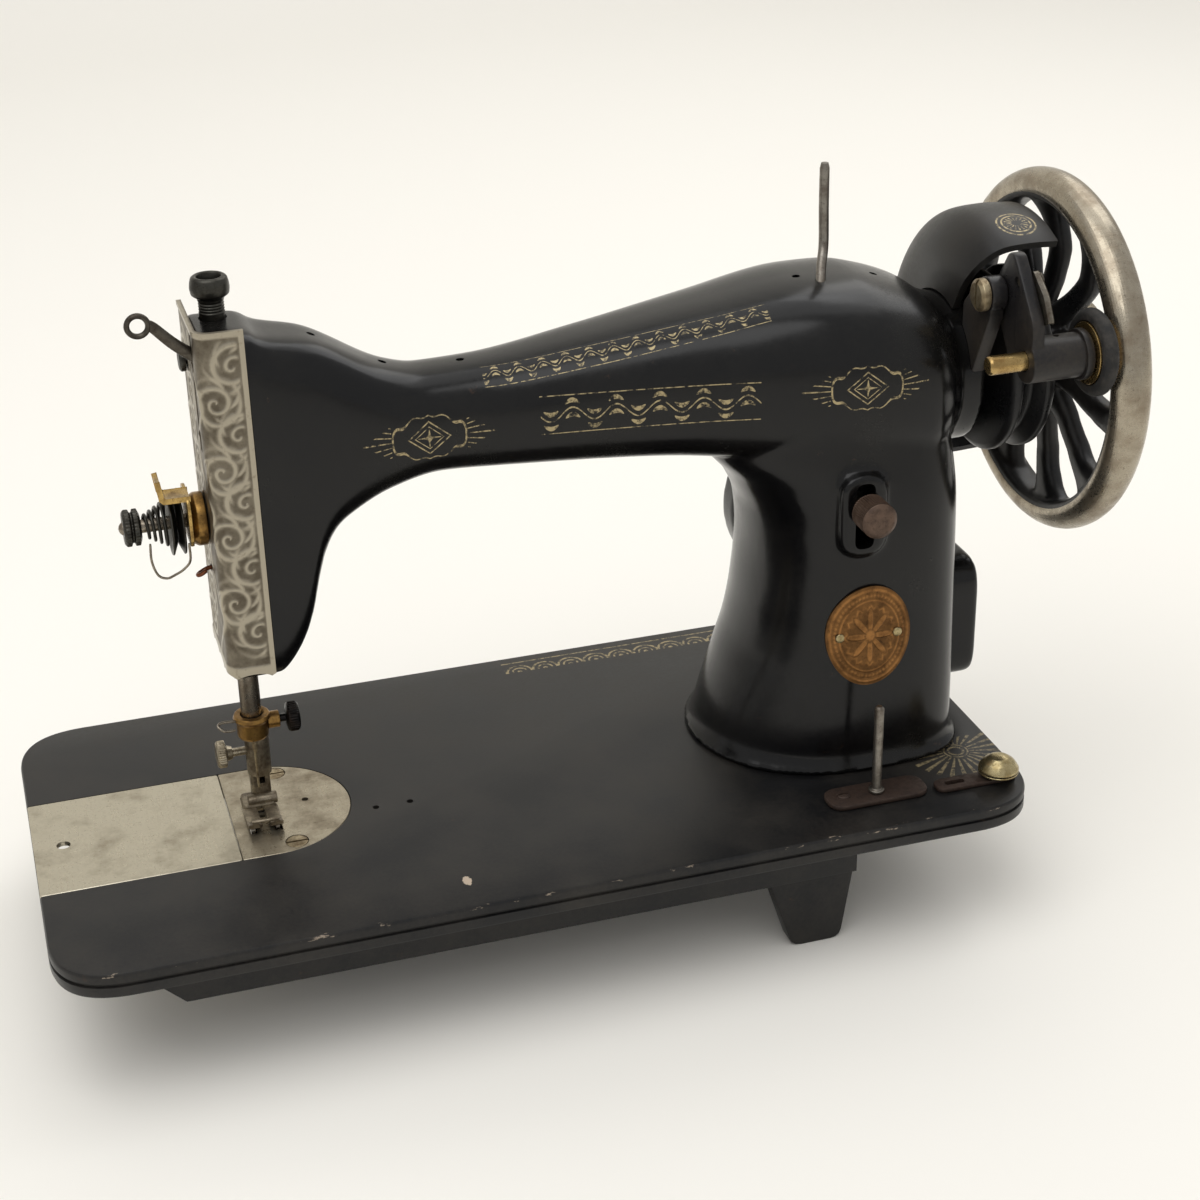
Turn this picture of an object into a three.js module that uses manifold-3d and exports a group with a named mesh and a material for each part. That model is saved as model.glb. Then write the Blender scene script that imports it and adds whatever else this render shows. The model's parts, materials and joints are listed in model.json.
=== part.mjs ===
// Cast-iron household sewing machine head for a treadle stand: bed, arm, needle and presser bars,
// thread tension, shuttle and feed under the bed, handwheel, belt guard and bobbin winder.
// Millimetres, +Z up. Inside the machine group x runs from the bed's left end, y from the bed's
// centre line (front is negative) and z from the bed's top face.
import * as THREE from 'three';
import { mergeVertices } from 'three/addons/utils/BufferGeometryUtils.js';
import Module from 'manifold-3d';

const wasm = await Module();
wasm.setup();

// ---- driving dimensions ----
const gap = 0.3; // clearance between separate pieces
const bedLength = 368.3;
const bedDepth = 177.8;
const bedCorner = 19.5;
const bedEdge = 10;
const bedSkin = 4.6; // thickness of the bed's top sheet
const standHeight = 56; // bed top above the feet
const railInset = 14.5;
const railDrop = 27;
const railLeft = 36;
const railThick = 4;
const legRight = 298;
const legTop = 38;
const legFoot = 16;
const legThick = 8;

const slideLength = 72.8;
const plateHalf = 32; // half width of slide plate and needle plate
const plateThick = 1.9;
const platePocket = plateThick + gap;
const needlePlateArcX = 86.6;

const needleX = 84.5;
const needleY = -4;
const needleBarRadius = 3.75;
const needleStroke = 26;
const clampZ = 40;
const presserX = 86.5;
const presserY = 6;
const presserRadius = 3;
const footSleeve = 4.6;

const headLeft = 78;
const headTop = 194;
const headBottom = 64;
const headHalf = 21;
const castWall = 4;
const facePlateRight = 93;
const facePlateThick = 1.6;
const facePlateTop = 197.5;
const facePlateBottom = 67;

const shaftZ = 144;
const shaftRadius = 6;
const bossRadius = 28.7;
const bossEnd = 364;
const pillarX = 312;
const pillarHalfDepth = 46.5;

const tensionZ = 123;
const takeUpX = 100;
const takeUpY = -10;
const takeUpZ = 173;

const crankThrow = needleStroke / 2;
const wheelX = 404;
const wheelRadius = 70;
const rimWidth = 15;
const rimDeep = 11.5;
const spokes = 10;
const hubRadius = 17;
const pulleyLeft = 372;
const pulleyRadius = 35;
const hubEnd = 412;
const knobEnd = 424;

const winderY = -56;
const winderZ = 163.5;
const winderBarrelLeft = 364;
const winderBarrelRight = 387.5;
const tyreRadius = 16;
const tyreWidth = 6.4;

const hookZ = -33;
const raceRadius = standHeight + hookZ;
const raceLeft = 78;
const raceWidth = 14;
const hookShaftRadius = 4.5;
const feedShaftY = 48;
const feedShaftZ = -30;

const slotX = 309;
const slotZ = 107;
const slotTall = 26;
const badgeZ = 57.5;
const coverZ = 78;

// ---- finishes ----
const finish = {
  japan: { color: 0x17181a, roughness: 0.35, metalness: 0.1 },
  nickel: { color: 0xb9ac93, roughness: 0.35, metalness: 0.9 },
  steel: { color: 0x6d6a64, roughness: 0.4, metalness: 0.9 },
  darkSteel: { color: 0x3b3a3a, roughness: 0.45, metalness: 0.8 },
  brass: { color: 0xa98646, roughness: 0.4, metalness: 0.9 },
  brown: { color: 0x4a3528, roughness: 0.6, metalness: 0.4 },
  rubber: { color: 0x1c1b1a, roughness: 0.85, metalness: 0 },
};

// ---- solids ----
function solid(geometry) {
  const bare = geometry.index ? geometry.toNonIndexed() : geometry.clone();
  bare.deleteAttribute('normal');
  bare.deleteAttribute('uv');
  const merged = mergeVertices(bare, 1e-4);
  const vertProperties = new Float32Array(merged.attributes.position.array);
  const triVerts = new Uint32Array(merged.index.array);
  return new wasm.Manifold(new wasm.Mesh({ numProp: 3, vertProperties, triVerts }));
}

function geometryOf(body) {
  const mesh = body.getMesh();
  const geometry = new THREE.BufferGeometry();
  geometry.setAttribute('position', new THREE.BufferAttribute(new Float32Array(mesh.vertProperties), 3));
  geometry.setIndex(new THREE.BufferAttribute(new Uint32Array(mesh.triVerts), 1));
  const flat = geometry.toNonIndexed();
  flat.computeVertexNormals();
  return flat;
}

function box(x0, x1, y0, y1, z0, z1) {
  const geometry = new THREE.BoxGeometry(x1 - x0, y1 - y0, z1 - z0);
  return solid(geometry.translate((x0 + x1) / 2, (y0 + y1) / 2, (z0 + z1) / 2));
}

// turns a solid built about +Z so that it stands along X or Y
function turned(geometry, axis) {
  if (axis === 'x') return geometry.rotateY(Math.PI / 2);
  if (axis === 'y') return geometry.rotateX(-Math.PI / 2);
  return geometry;
}

function placed(geometry, axis, a, b) {
  turned(geometry, axis);
  if (axis === 'x') return geometry.translate(0, a, b);
  if (axis === 'y') return geometry.translate(a, 0, b);
  return geometry.translate(a, b, 0);
}

// a profile of [distance along the axis, radius] turned round an axis through (a, b)
function lathe(profile, axis, a, b, sides = 14) {
  const points = profile.map(([along, radius]) => new THREE.Vector2(Math.max(radius, 0), along));
  const geometry = new THREE.LatheGeometry(points, sides);
  geometry.rotateX(Math.PI / 2);
  const body = solid(placed(geometry, axis, a, b));
  return body.volume() < 0 ? solid(flipped(geometry)) : body;
}

function flipped(geometry) {
  const flat = geometry.index ? geometry.toNonIndexed() : geometry;
  const p = flat.attributes.position.array;
  for (let i = 0; i < p.length; i += 9) {
    for (let k = 0; k < 3; k += 1) {
      const swap = p[i + 3 + k];
      p[i + 3 + k] = p[i + 6 + k];
      p[i + 6 + k] = swap;
    }
  }
  return flat;
}

function rod(axis, from, to, radius, a, b, sides = 10) {
  return lathe([[from, 0], [from, radius], [to, radius], [to, 0]], axis, a, b, sides);
}

function ring(axis, from, to, outer, inner, a, b, sides = 14) {
  const profile = [[from, inner], [from, outer], [to, outer], [to, inner], [from, inner]];
  return lathe(profile, axis, a, b, sides);
}

// an outline in the plane across the axis, extruded from one place to another along it
function slab(shape, axis, from, to, curveSegments = 3) {
  const settings = { depth: to - from, bevelEnabled: false, curveSegments };
  const geometry = new THREE.ExtrudeGeometry(shape, settings);
  if (axis === 'z') geometry.translate(0, 0, from);
  if (axis === 'y') geometry.rotateX(Math.PI / 2).translate(0, to, 0);
  if (axis === 'x') geometry.rotateZ(Math.PI / 2).rotateY(Math.PI / 2).translate(from, 0, 0);
  return solid(geometry);
}

function roundedShape(a0, a1, b0, b1, radius) {
  const shape = new THREE.Shape();
  shape.moveTo(a0 + radius, b0);
  shape.lineTo(a1 - radius, b0);
  shape.absarc(a1 - radius, b0 + radius, radius, -Math.PI / 2, 0, false);
  shape.lineTo(a1, b1 - radius);
  shape.absarc(a1 - radius, b1 - radius, radius, 0, Math.PI / 2, false);
  shape.lineTo(a0 + radius, b1);
  shape.absarc(a0 + radius, b1 - radius, radius, Math.PI / 2, Math.PI, false);
  shape.lineTo(a0, b0 + radius);
  shape.absarc(a0 + radius, b0 + radius, radius, Math.PI, Math.PI * 1.5, false);
  return shape;
}

function ovalShape(a, b, halfA, halfB) {
  const shape = new THREE.Shape();
  shape.absellipse(a, b, halfA, halfB, 0, Math.PI * 2, false, 0);
  return shape;
}

function polygonShape(points) {
  return new THREE.Shape(points.map(([a, b]) => new THREE.Vector2(a, b)));
}

// a round wire or bar along a smooth line through the given points
function wire(points, radius, sides = 5, steps = 12) {
  const curve = new THREE.CatmullRomCurve3(points.map((p) => new THREE.Vector3(...p)), false,
    'centripetal');
  const shape = new THREE.Shape();
  for (let i = 0; i < sides; i += 1) {
    const t = (i / sides) * Math.PI * 2;
    const x = radius * Math.cos(t);
    const y = radius * Math.sin(t);
    if (i === 0) shape.moveTo(x, y);
    else shape.lineTo(x, y);
  }
  shape.closePath();
  const geometry = new THREE.ExtrudeGeometry(shape, { steps, extrudePath: curve, bevelEnabled: false });
  const body = solid(geometry);
  return body.volume() < 0 ? solid(flipped(geometry)) : body;
}

// a solid through a row of closed rings of equal length
function loft(rings) {
  const positions = [];
  const count = rings[0].length;
  const triangle = (a, b, c) => positions.push(...a, ...b, ...c);
  for (let i = 0; i + 1 < rings.length; i += 1) {
    for (let j = 0; j < count; j += 1) {
      const k = (j + 1) % count;
      triangle(rings[i][j], rings[i][k], rings[i + 1][k]);
      triangle(rings[i][j], rings[i + 1][k], rings[i + 1][j]);
    }
  }
  const middle = (points) => [0, 1, 2].map((k) => points.reduce((sum, p) => sum + p[k], 0) / count);
  const first = middle(rings[0]);
  const last = middle(rings[rings.length - 1]);
  for (let j = 0; j < count; j += 1) {
    const k = (j + 1) % count;
    triangle(rings[0][k], rings[0][j], first);
    triangle(rings[rings.length - 1][j], rings[rings.length - 1][k], last);
  }
  const geometry = new THREE.BufferGeometry();
  geometry.setAttribute('position', new THREE.BufferAttribute(new Float32Array(positions), 3));
  const body = solid(geometry);
  return body.volume() < 0 ? solid(flipped(geometry)) : body;
}

// a smooth height over a row of [place, value] points, with no overshoot between them
function smooth(points) {
  const slopes = points.map((point, i) => {
    if (i === 0 || i === points.length - 1) return 0;
    const before = (point[1] - points[i - 1][1]) / (point[0] - points[i - 1][0]);
    const after = (points[i + 1][1] - point[1]) / (points[i + 1][0] - point[0]);
    return before * after <= 0 ? 0 : (2 * before * after) / (before + after);
  });
  return (at) => {
    if (at <= points[0][0]) return points[0][1];
    if (at >= points[points.length - 1][0]) return points[points.length - 1][1];
    const i = points.findIndex((point) => point[0] > at) - 1;
    const wide = points[i + 1][0] - points[i][0];
    const t = (at - points[i][0]) / wide;
    const a = points[i][1] * (1 + 2 * t) * (1 - t) ** 2 + points[i + 1][1] * t * t * (3 - 2 * t);
    return a + wide * (slopes[i] * t * (1 - t) ** 2 - slopes[i + 1] * t * t * (1 - t));
  };
}

function squareRound(value, power) {
  return Math.sign(value) * Math.abs(value) ** (2 / power);
}

const machine = new THREE.Group();
machine.position.set(-knobEnd / 2, 0, standHeight);

function add(name, body, look) {
  const mesh = new THREE.Mesh(geometryOf(body), new THREE.MeshStandardMaterial(finish[look]));
  mesh.name = name;
  machine.add(mesh);
}

// ---- arm and pillar casting ----
// The arm runs along X. Its top, underside and half width are smooth lines over x.
const armTop = smooth([
  [headLeft, headTop], [94, headTop], [100, 190.5], [116, 187], [145, 172], [156, 169.6],
  [176, 170.1], [217, 175.4], [260, 182], [300, 187.3], [316, 186.9], [329, 184],
  [342, 179], [349, shaftZ + bossRadius + 1.5], [354, shaftZ + bossRadius],
  [bossEnd, shaftZ + bossRadius],
]);
const armUnder = smooth([
  [headLeft, headBottom], [96, headBottom], [100.2, 68], [105.2, 75.4], [109, 84.6], [112, 97],
  [115, 107], [120, 115.8], [126.4, 120.6], [141.6, 127.6], [160, 131.2], [180, 130.4],
  [240, 127], [300, 118], [342, 112], [349, shaftZ - bossRadius - 1.5], [354, shaftZ - bossRadius],
  [bossEnd, shaftZ - bossRadius],
]);
const armHalf = smooth([
  [headLeft, headHalf - 0.3], [96, headHalf], [116, headHalf], [150, 19.5], [165, 19.5], [200, 23],
  [250, 30.5], [280, 37], [300, 41], [322, 43], [338, 41.5], [348, 36], [354, bossRadius],
  [bossEnd, bossRadius],
]);
const armPower = smooth([[headLeft, 7], [100, 6], [125, 3.4], [160, 2.5], [300, 2.7], [340, 2.6],
  [354, 2]]);

function armRing(x, inset, count) {
  const high = armTop(x) - inset;
  const low = armUnder(x) + inset;
  const half = armHalf(x) - inset;
  return Array.from({ length: count }, (_, i) => {
    const t = ((i + 0.5) / count) * Math.PI * 2;
    const y = half * squareRound(Math.cos(t), armPower(x));
    const z = (high + low) / 2 + ((high - low) / 2) * squareRound(Math.sin(t), armPower(x));
    return [x, y, z];
  });
}

const armStations = [
  headLeft, 95, 100, 105, 109, 112, 115, 120, 128, 140, 156, 185, 225, 265, 300, 325, 341, 349, 354,
    bossEnd,
];

function armLoft(from, to, inset, count = 18) {
  const inside = armStations.filter((x) => x > from && x < to);
  return loft([from, ...inside, to].map((x) => armRing(x, inset, count)));
}

// The pillar stands along Z. Its left side flares to the bed, its right side is nearly upright.
const pillarLeft = smooth([
  [0, 260], [10, 262], [30, 269], [45, 274.5], [60, 277.5], [82, 279.5], [98, 278], [112, 272],
  [126, 262],
]);
const pillarRight = smooth([[0, 358], [100, 357], [126, 354], [140, 351]]);
const pillarHalf = smooth([[0, pillarHalfDepth], [60, 45], [107, 43.5], [140, 40.5]]);

function pillarRing(z, inset, count) {
  const left = pillarX - pillarLeft(z) - inset;
  const right = pillarRight(z) - pillarX - inset;
  const half = pillarHalf(z) - inset;
  return Array.from({ length: count }, (_, i) => {
    const t = ((i + 0.5) / count) * Math.PI * 2;
    const toRight = Math.cos(t) > 0;
    const power = toRight ? 3.6 : 2.1;
    const x = pillarX + (toRight ? right : left) * squareRound(Math.cos(t), power);
    return [x, half * squareRound(Math.sin(t), power), z];
  });
}

function pillarLoft(from, to, inset, count = 18) {
  const levels = [from, 5, 14, 28, 46, 64, 82, 98, 112, 124, to];
  return loft(levels.filter((z) => z >= from && z <= to).map((z) => pillarRing(z, inset, count)));
}

function shaftHole(from, to) {
  return rod('x', from, to, shaftRadius + gap, 0, shaftZ, 14);
}

const coverHalfWide = 20;
const coverHalfTall = 27;
const coverPadY = 46.2;
const slotWidth = 7.5;
const slotRimProud = 1.4;

function armCasting() {
  let body = armLoft(headLeft, bossEnd, 0).add(pillarLoft(gap, 140, 0));
  const rimOuter = slab(roundedShape(slotX - 9, slotX + 9, slotZ - 16, slotZ + 16, 8.9), 'y', -60, -20);
  const rim = pillarLoft(70, 133, -slotRimProud).intersect(rimOuter);
  const motorPad = slab(roundedShape(-14, 30, 12, 64, 9), 'x', 340, 374);
  const coverPad = slab(ovalShape(slotX, coverZ, coverHalfWide + 2, coverHalfTall + 2), 'y', 34,
    coverPadY, 14);
  const flange = loft([gap, 2, 5].map((z, i) => pillarRing(z, [-3.5, -2.6, 0.5][i], 10)));
  body = body.add(rim).add(motorPad).add(coverPad).add(flange);
  const headRoom = armLoft(headLeft - 8, 116, castWall, 8);
  const armRoom = armLoft(124, 346, castWall + 1, 8);
  const pillarRoom = pillarLoft(3, 133, castWall + 1, 8);
  const mouth = box(282, 344, -30, 30, -1, 10);
  body = body.subtract(headRoom.intersect(box(60, 130, -40, 40, headBottom + 8, headTop - 4.5)));
  body = body.subtract(armRoom).subtract(pillarRoom).subtract(mouth);
  body = body.subtract(shaftHole(90, bossEnd + 10));
  // seat for the face plate round the head's left front corner
  const seat = box(60, facePlateRight + gap, -60, -headHalf + castWall + 0.2, 0, 250);
  body = body.subtract(seat);
  // room for the take-up lever, bores for the bars and the pressure screw
  body = body.subtract(box(60, headLeft + 6, takeUpY - 3, takeUpY + 3, 170, headTop - 2.5));
  const screwBore = lathe([[150, 0], [150, 4.9], [250, 4.9], [250, 0]], 'z', presserX, presserY);
  body = body.subtract(rod('z', 50, 80, needleBarRadius + gap, needleX, needleY));
  body = body.subtract(rod('z', 180, 200, needleBarRadius + gap, needleX, needleY));
  body = body.subtract(rod('z', 50, 80, presserRadius + gap, presserX, presserY)).subtract(screwBore);
  // slot for the stitch lever, hole behind the rear cover, and the lifter's bore
  const slotCut = roundedShape(slotX - slotWidth / 2, slotX + slotWidth / 2, slotZ - slotTall / 2,
    slotZ + slotTall / 2, 3.7);
  body = body.subtract(slab(slotCut, 'y', -60, -25));
  body = body.subtract(slab(ovalShape(slotX, coverZ - 3, coverHalfWide - 5, coverHalfTall - 8), 'y', 25,
    60, 10));
  body = body.subtract(rod('y', coverPadY - 9, coverPadY + 5, 1.8 + gap, slotX,
    coverZ + coverHalfTall - 5, 10));
  body = body.subtract(rod('y', 10, 30, 3 + gap, 90, 96));
  body = body.add(lathe([[takeUpY - 3.4, 0], [takeUpY - 3.4, 2.5], [headHalf - castWall + 1, 2.5],
    [headHalf - castWall + 1, 0]],
    'y', takeUpX, takeUpZ, 10));
  // oil holes along the top and the bore of the spool pin
  const oilHoles = [[118.7, 0], [143, 0], [171, 0], [297, -4], [328, -3]];
  oilHoles.forEach(([x, y]) => {
    body = body.subtract(rod('z', armTop(x) - 12, 220, 1.4, x, y, 6));
  });
  badgePins.forEach((x) => {
    body = body.subtract(rod('y', -60, -pillarFront(x, badgeZ) + 3.4, 1.2 + gap, x, badgeZ, 10));
  });
  const pinFoot = spoolPinPath()[0];
  body = body.subtract(rod('z', pinFoot[2] - 3, pinFoot[2] + 1.5, 3.2, pinFoot[0], pinFoot[1]));
  body = body.subtract(wire(spoolPinPath(), spoolPinRadius + gap, 10, 12));
  return body;
}

const spoolPinRadius = 1.9;
// the spool pin leans into the arm and then stands upright
function spoolPinPath() {
  return [[300.5, -17, 172], [302.2, -14.6, 182], [306, -6, 190], [309, -0.6, 197], [309, 0, 212],
    [309, 0, 227]];
}

const badgeX = 312.6;
const badgePins = [badgeX - 11.5, badgeX + 11];

// distance of the pillar's front from the centre line
function pillarFront(x, z) {
  const toRight = x > pillarX;
  const reach = toRight ? pillarRight(z) - pillarX : pillarX - pillarLeft(z);
  const power = toRight ? 3.6 : 2.1;
  return pillarHalf(z) * (1 - (Math.abs(x - pillarX) / reach) ** power) ** (1 / power);
}

add('arm', armCasting(), 'japan');

// ---- bed ----
function bedOutline(inset) {
  const half = bedDepth / 2 - inset;
  return roundedShape(inset, bedLength - inset, -half, half, bedCorner - inset);
}

function needlePlateShape(inset) {
  const half = plateHalf - inset;
  const shape = new THREE.Shape();
  shape.moveTo(slideLength + gap + inset, -half);
  shape.lineTo(needlePlateArcX, -half);
  shape.absarc(needlePlateArcX, 0, half, -Math.PI / 2, Math.PI / 2, false);
  shape.lineTo(slideLength + gap + inset, half);
  shape.closePath();
  return shape;
}

const hookLugs = [128, 282];
const feedLugs = [112, 270];
const legSpan = legTop / 2;
const pinHoleX = 126.6;

function rail(side) {
  const outer = side * (bedDepth / 2 - railInset);
  const inner = outer - side * railThick;
  const slope = polygonShape([[railLeft, -bedSkin], [legRight, -bedSkin], [legRight, -railDrop],
    [railLeft + 8, -railDrop], [railLeft, -railDrop + 8]]);
  const web = slab(slope, 'y', Math.min(outer, inner), Math.max(outer, inner));
  const legX = legRight - legSpan;
  const leg = polygonShape([[legX - legSpan, -railDrop + 9], [legX + legSpan, -railDrop + 9],
    [legX + legFoot / 2 + 5, -standHeight], [legX - legFoot / 2 - 1, -standHeight]]);
  const legInner = outer - side * legThick;
  return web.add(slab(leg, 'y', Math.min(outer, legInner), Math.max(outer, legInner)));
}

function lug(x, y, z, radius) {
  const plate = polygonShape([[y - radius, -bedSkin + 0.5], [y + radius, -bedSkin + 0.5],
    [y + radius, z], [y - radius, z]]);
  return slab(plate, 'x', x, x + 8).add(rod('x', x, x + 8, radius, y, z));
}

function bedCasting() {
  const groove = slab(bedOutline(-1), 'z', -5.2, -4, 6).subtract(slab(bedOutline(0.9), 'z', -6, -3, 6));
  let body = slab(bedOutline(0), 'z', -bedEdge, 0, 6).subtract(groove);
  const ceiling = slab(bedOutline(6), 'z', -bedEdge - 1, -bedSkin, 6);
  body = body.subtract(ceiling);
  body = body.add(rail(-1)).add(rail(1));
  hookLugs.forEach((x) => {
    body = body.add(lug(x, 0, hookZ, 9));
  });
  feedLugs.forEach((x) => {
    body = body.add(lug(x, feedShaftY, feedShaftZ, 8));
  });
  // seats for the slide plate and needle plate, and the well under them
  body = body.subtract(box(-1, slideLength + gap + 1, -plateHalf - gap, plateHalf + gap, -platePocket,
    1));
  body = body.subtract(slab(needlePlateShape(-gap), 'z', -platePocket, 1, 10));
  body = body.subtract(box(6, 70, -27, 27, -bedEdge - 1, 1))
    .subtract(box(69, 105, -21, 21, -bedEdge - 1, 1));
  body = body.subtract(box(288, 340, -28, 28, -bedEdge - 1, 1));
  body = body.subtract(rod('x', 100, 320, hookShaftRadius + gap, 0, hookZ));
  body = body.subtract(rod('x', 100, 320, 4 + gap, feedShaftY, feedShaftZ));
  [pinHoleX, pinHoleX + 13.2].forEach((x) => {
    body = body.subtract(rod('z', -bedEdge, 1, 1.3, x, -12, 10));
  });
  plateScrews.forEach((y) => {
    body = body.subtract(rod('z', -bedEdge, 1, 1.9 + gap, plateScrewX, y, 10));
  });
  return body;
}

const plateScrewX = 94;
const plateScrews = [-25.7, 25.7];

add('bed', bedCasting(), 'japan');

// ---- plates on the bed ----
const platesBottom = -plateThick;
const slide = box(0, slideLength, -plateHalf, plateHalf, platesBottom, 0);
add('slide_plate', slide.subtract(rod('z', -5, 2, 2.4, 11.2, 0, 10)), 'nickel');

const feedRows = [-4.6, 0, 4.6];
const feedRowWide = 1.6;
const feedBack = 8.5;
const feedFront = -12.5;

function needlePlate() {
  let body = slab(needlePlateShape(0), 'z', platesBottom, 0, 10);
  feedRows.forEach((row) => {
    const x = needleX + row;
    const reach = feedRowWide / 2 + 0.6;
    const front = row === 0 ? needleY + 3 : feedFront - 3;
    body = body.subtract(box(x - reach, x + reach, front, feedBack + 3, -5, 2));
  });
  body = body.subtract(rod('z', -5, 2, 1.2, needleX, needleY, 10))
    .subtract(rod('z', -5, 2, 1.2, 102.1, 2.7, 10));
  plateScrews.forEach((y) => {
    const sink = lathe([[-5, 0], [-5, 2.2], [-1.5, 2.2], [-1.2, 4.4], [2, 4.4], [2, 0]], 'z',
      plateScrewX, y);
    body = body.subtract(sink);
  });
  return body;
}
add('needle_plate', needlePlate(), 'nickel');

function slottedScrew(axis, head, shank, a, b, headRadius, shankRadius, toPositive = true) {
  const profile = [[shank, 0], [shank, shankRadius], [head[0], shankRadius], [head[0], headRadius],
    [head[1], headRadius], [head[1], 0]];
  const body = lathe(profile, axis, a, b, 10);
  const top = head[1];
  const into = toPositive ? top - 0.7 : top + 0.7;
  const out = toPositive ? top + 1 : top - 1;
  const low = Math.min(into, out);
  const high = Math.max(into, out);
  const wide = headRadius + 1;
  const cuts = {
    z: () => box(a - wide, a + wide, b - 0.5, b + 0.5, low, high),
    x: () => box(low, high, a - 0.5, a + 0.5, b - wide, b + wide),
    y: () => box(a - wide, a + wide, low, high, b - 0.5, b + 0.5),
  };
  return body.subtract(cuts[axis]());
}
['front', 'rear'].forEach((place, i) => {
  add(`needle_plate_screw_${place}`,
    slottedScrew('z', [-0.9, 0.05], -bedEdge + 1, plateScrewX, plateScrews[i], 4.1, 1.9), 'nickel');
});

// ---- face plate on the head ----
function facePlate() {
  const left = headLeft - gap - facePlateThick;
  const front = -headHalf - 0.2;
  const bend = 6;
  const outer = new THREE.Shape();
  outer.moveTo(left, headHalf - 2.5);
  outer.lineTo(left, front + bend);
  outer.absarc(left + bend, front + bend, bend, Math.PI, Math.PI * 1.5, false);
  outer.lineTo(facePlateRight, front);
  outer.lineTo(facePlateRight, front + facePlateThick);
  outer.lineTo(left + bend, front + facePlateThick);
  outer.absarc(left + bend, front + bend, bend - facePlateThick, Math.PI * 1.5, Math.PI, true);
  outer.lineTo(left + facePlateThick, headHalf - 2.5);
  outer.closePath();
  let body = slab(outer, 'z', facePlateBottom, facePlateTop, 8);
  body = body.subtract(box(left - 1, left + 3, takeUpY - 1.6, takeUpY + 1.6, 152, 196));
  body = body.subtract(rod('x', left - 1, left + 3, 3.2, 0, tensionZ))
    .subtract(rod('x', left - 1, left + 3, 2.2, 8, 179.5));
  body = body.subtract(rod('x', left - 1, left + 3, 1.3, 0, 103.5, 10));
  // shallow scallops along the lower edge
  const dip = rod('y', -60, -10, 5.5, (left + facePlateRight) / 2 + 1, facePlateBottom - 3.6, 14);
  return body.subtract(dip);
}
add('face_plate', facePlate(), 'nickel');

// the head's left end is closed by bars of the casting at these screws, so they bear on the plate
const plateFaceX = headLeft - gap - facePlateThick;
function facePlateScrew() {
  const profile = [[plateFaceX - 2.6, 0], [plateFaceX - 2.6, 3.6], [plateFaceX - gap, 4.2],
    [plateFaceX - gap, 1.8],
    [headLeft + 1, 1.8], [headLeft + 1, 0]];
  const slotCut = box(plateFaceX - 4, plateFaceX - 1.9, 7.5, 8.5, 170, 190);
  return lathe(profile, 'x', 8, 179.5, 10).subtract(slotCut);
}
add('face_plate_screw', facePlateScrew(), 'darkSteel');

// ---- needle bar group ----
const needleBarTop = headTop - 1.5;
const needleBarEnd = 37.5;
add('needle_bar', lathe([[needleBarEnd, 0], [needleBarEnd, needleBarRadius],
  [needleBarTop - 1, needleBarRadius],
  [needleBarTop, needleBarRadius - 1], [needleBarTop, 0]], 'z', needleX, needleY, 14), 'steel');

function needleClamp() {
  const bore = needleBarRadius + gap;
  let body = lathe([[clampZ - 5, bore], [clampZ - 5, 5.6], [clampZ + 3, 7], [clampZ + 4.5, 6.2],
    [clampZ + 4.5, bore],
    [clampZ - 5, bore]], 'z', needleX, needleY, 14);
  body = body.add(rod('x', needleX + 5.5, needleX + 10, 3.2, needleY, clampZ + 0.5));
  const guide = wire([[needleX - 5, needleY - 2, clampZ + 3], [needleX - 11, needleY - 3, clampZ + 4],
    [needleX - 13, needleY - 4.5, clampZ + 3.5], [needleX - 11, needleY - 6, clampZ + 2],
    [needleX - 7, needleY - 5, clampZ + 1]], 0.5, 6, 14);
  body = body.add(guide);
  body = body.subtract(box(needleX - 9, needleX + 9, presserY - footSleeve - gap, presserY + 9,
    clampZ - 9, clampZ + 9));
  return body.subtract(rod('x', needleX + 4, needleX + 12, 1.5 + gap, needleY, clampZ + 0.5, 10));
}
add('needle_clamp', needleClamp(), 'brass');
add('needle_clamp_screw', lathe([[needleX + 4.4, 0], [needleX + 4.4, 1.5], [needleX + 12.4, 1.5],
  [needleX + 12.4, 3],
  [needleX + 13, 5.2], [needleX + 14, 5.6], [needleX + 16.6, 5.6], [needleX + 17.4, 4.8],
  [needleX + 17.4, 0]],
'x', needleY, clampZ + 0.5, 14), 'darkSteel');
add('needle', lathe([[11, 0], [13.5, 0.45], [28, 0.55], [29, 1], [needleBarEnd - gap, 1],
  [needleBarEnd - gap, 0]],
  'z', needleX, needleY, 10), 'nickel');

// ---- presser bar group ----
const pressureNeck = headTop + 3.2;
const presserBarTop = 172;
const collarZ = 99.6;
const collarTall = 12;
add('presser_bar', lathe([[15, 0], [15, presserRadius], [collarZ, presserRadius], [collarZ, 5.2],
  [collarZ + collarTall, 5.2],
  [collarZ + collarTall, presserRadius], [presserBarTop, presserRadius], [presserBarTop, 0]], 'z',
  presserX, presserY, 10), 'steel');

const screwSleeve = 168;
function coil(axisX, axisY, z0, z1, radius, turns, wireRadius, sides, perTurn) {
  const steps = Math.round(turns * perTurn);
  const points = Array.from({ length: steps + 1 }, (_, i) => {
    const angle = (i / perTurn) * Math.PI * 2;
    return [axisX + radius * Math.cos(angle), axisY + radius * Math.sin(angle),
      z0 + ((z1 - z0) * i) / steps];
  });
  return wire(points, wireRadius, sides, steps);
}
const springWire = 0.7;
add('presser_spring', coil(presserX, presserY, collarZ + collarTall + springWire + 0.5,
  screwSleeve - springWire - 0.5,
  presserRadius + 1.5, 6, springWire, 4, 7), 'steel');

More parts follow.
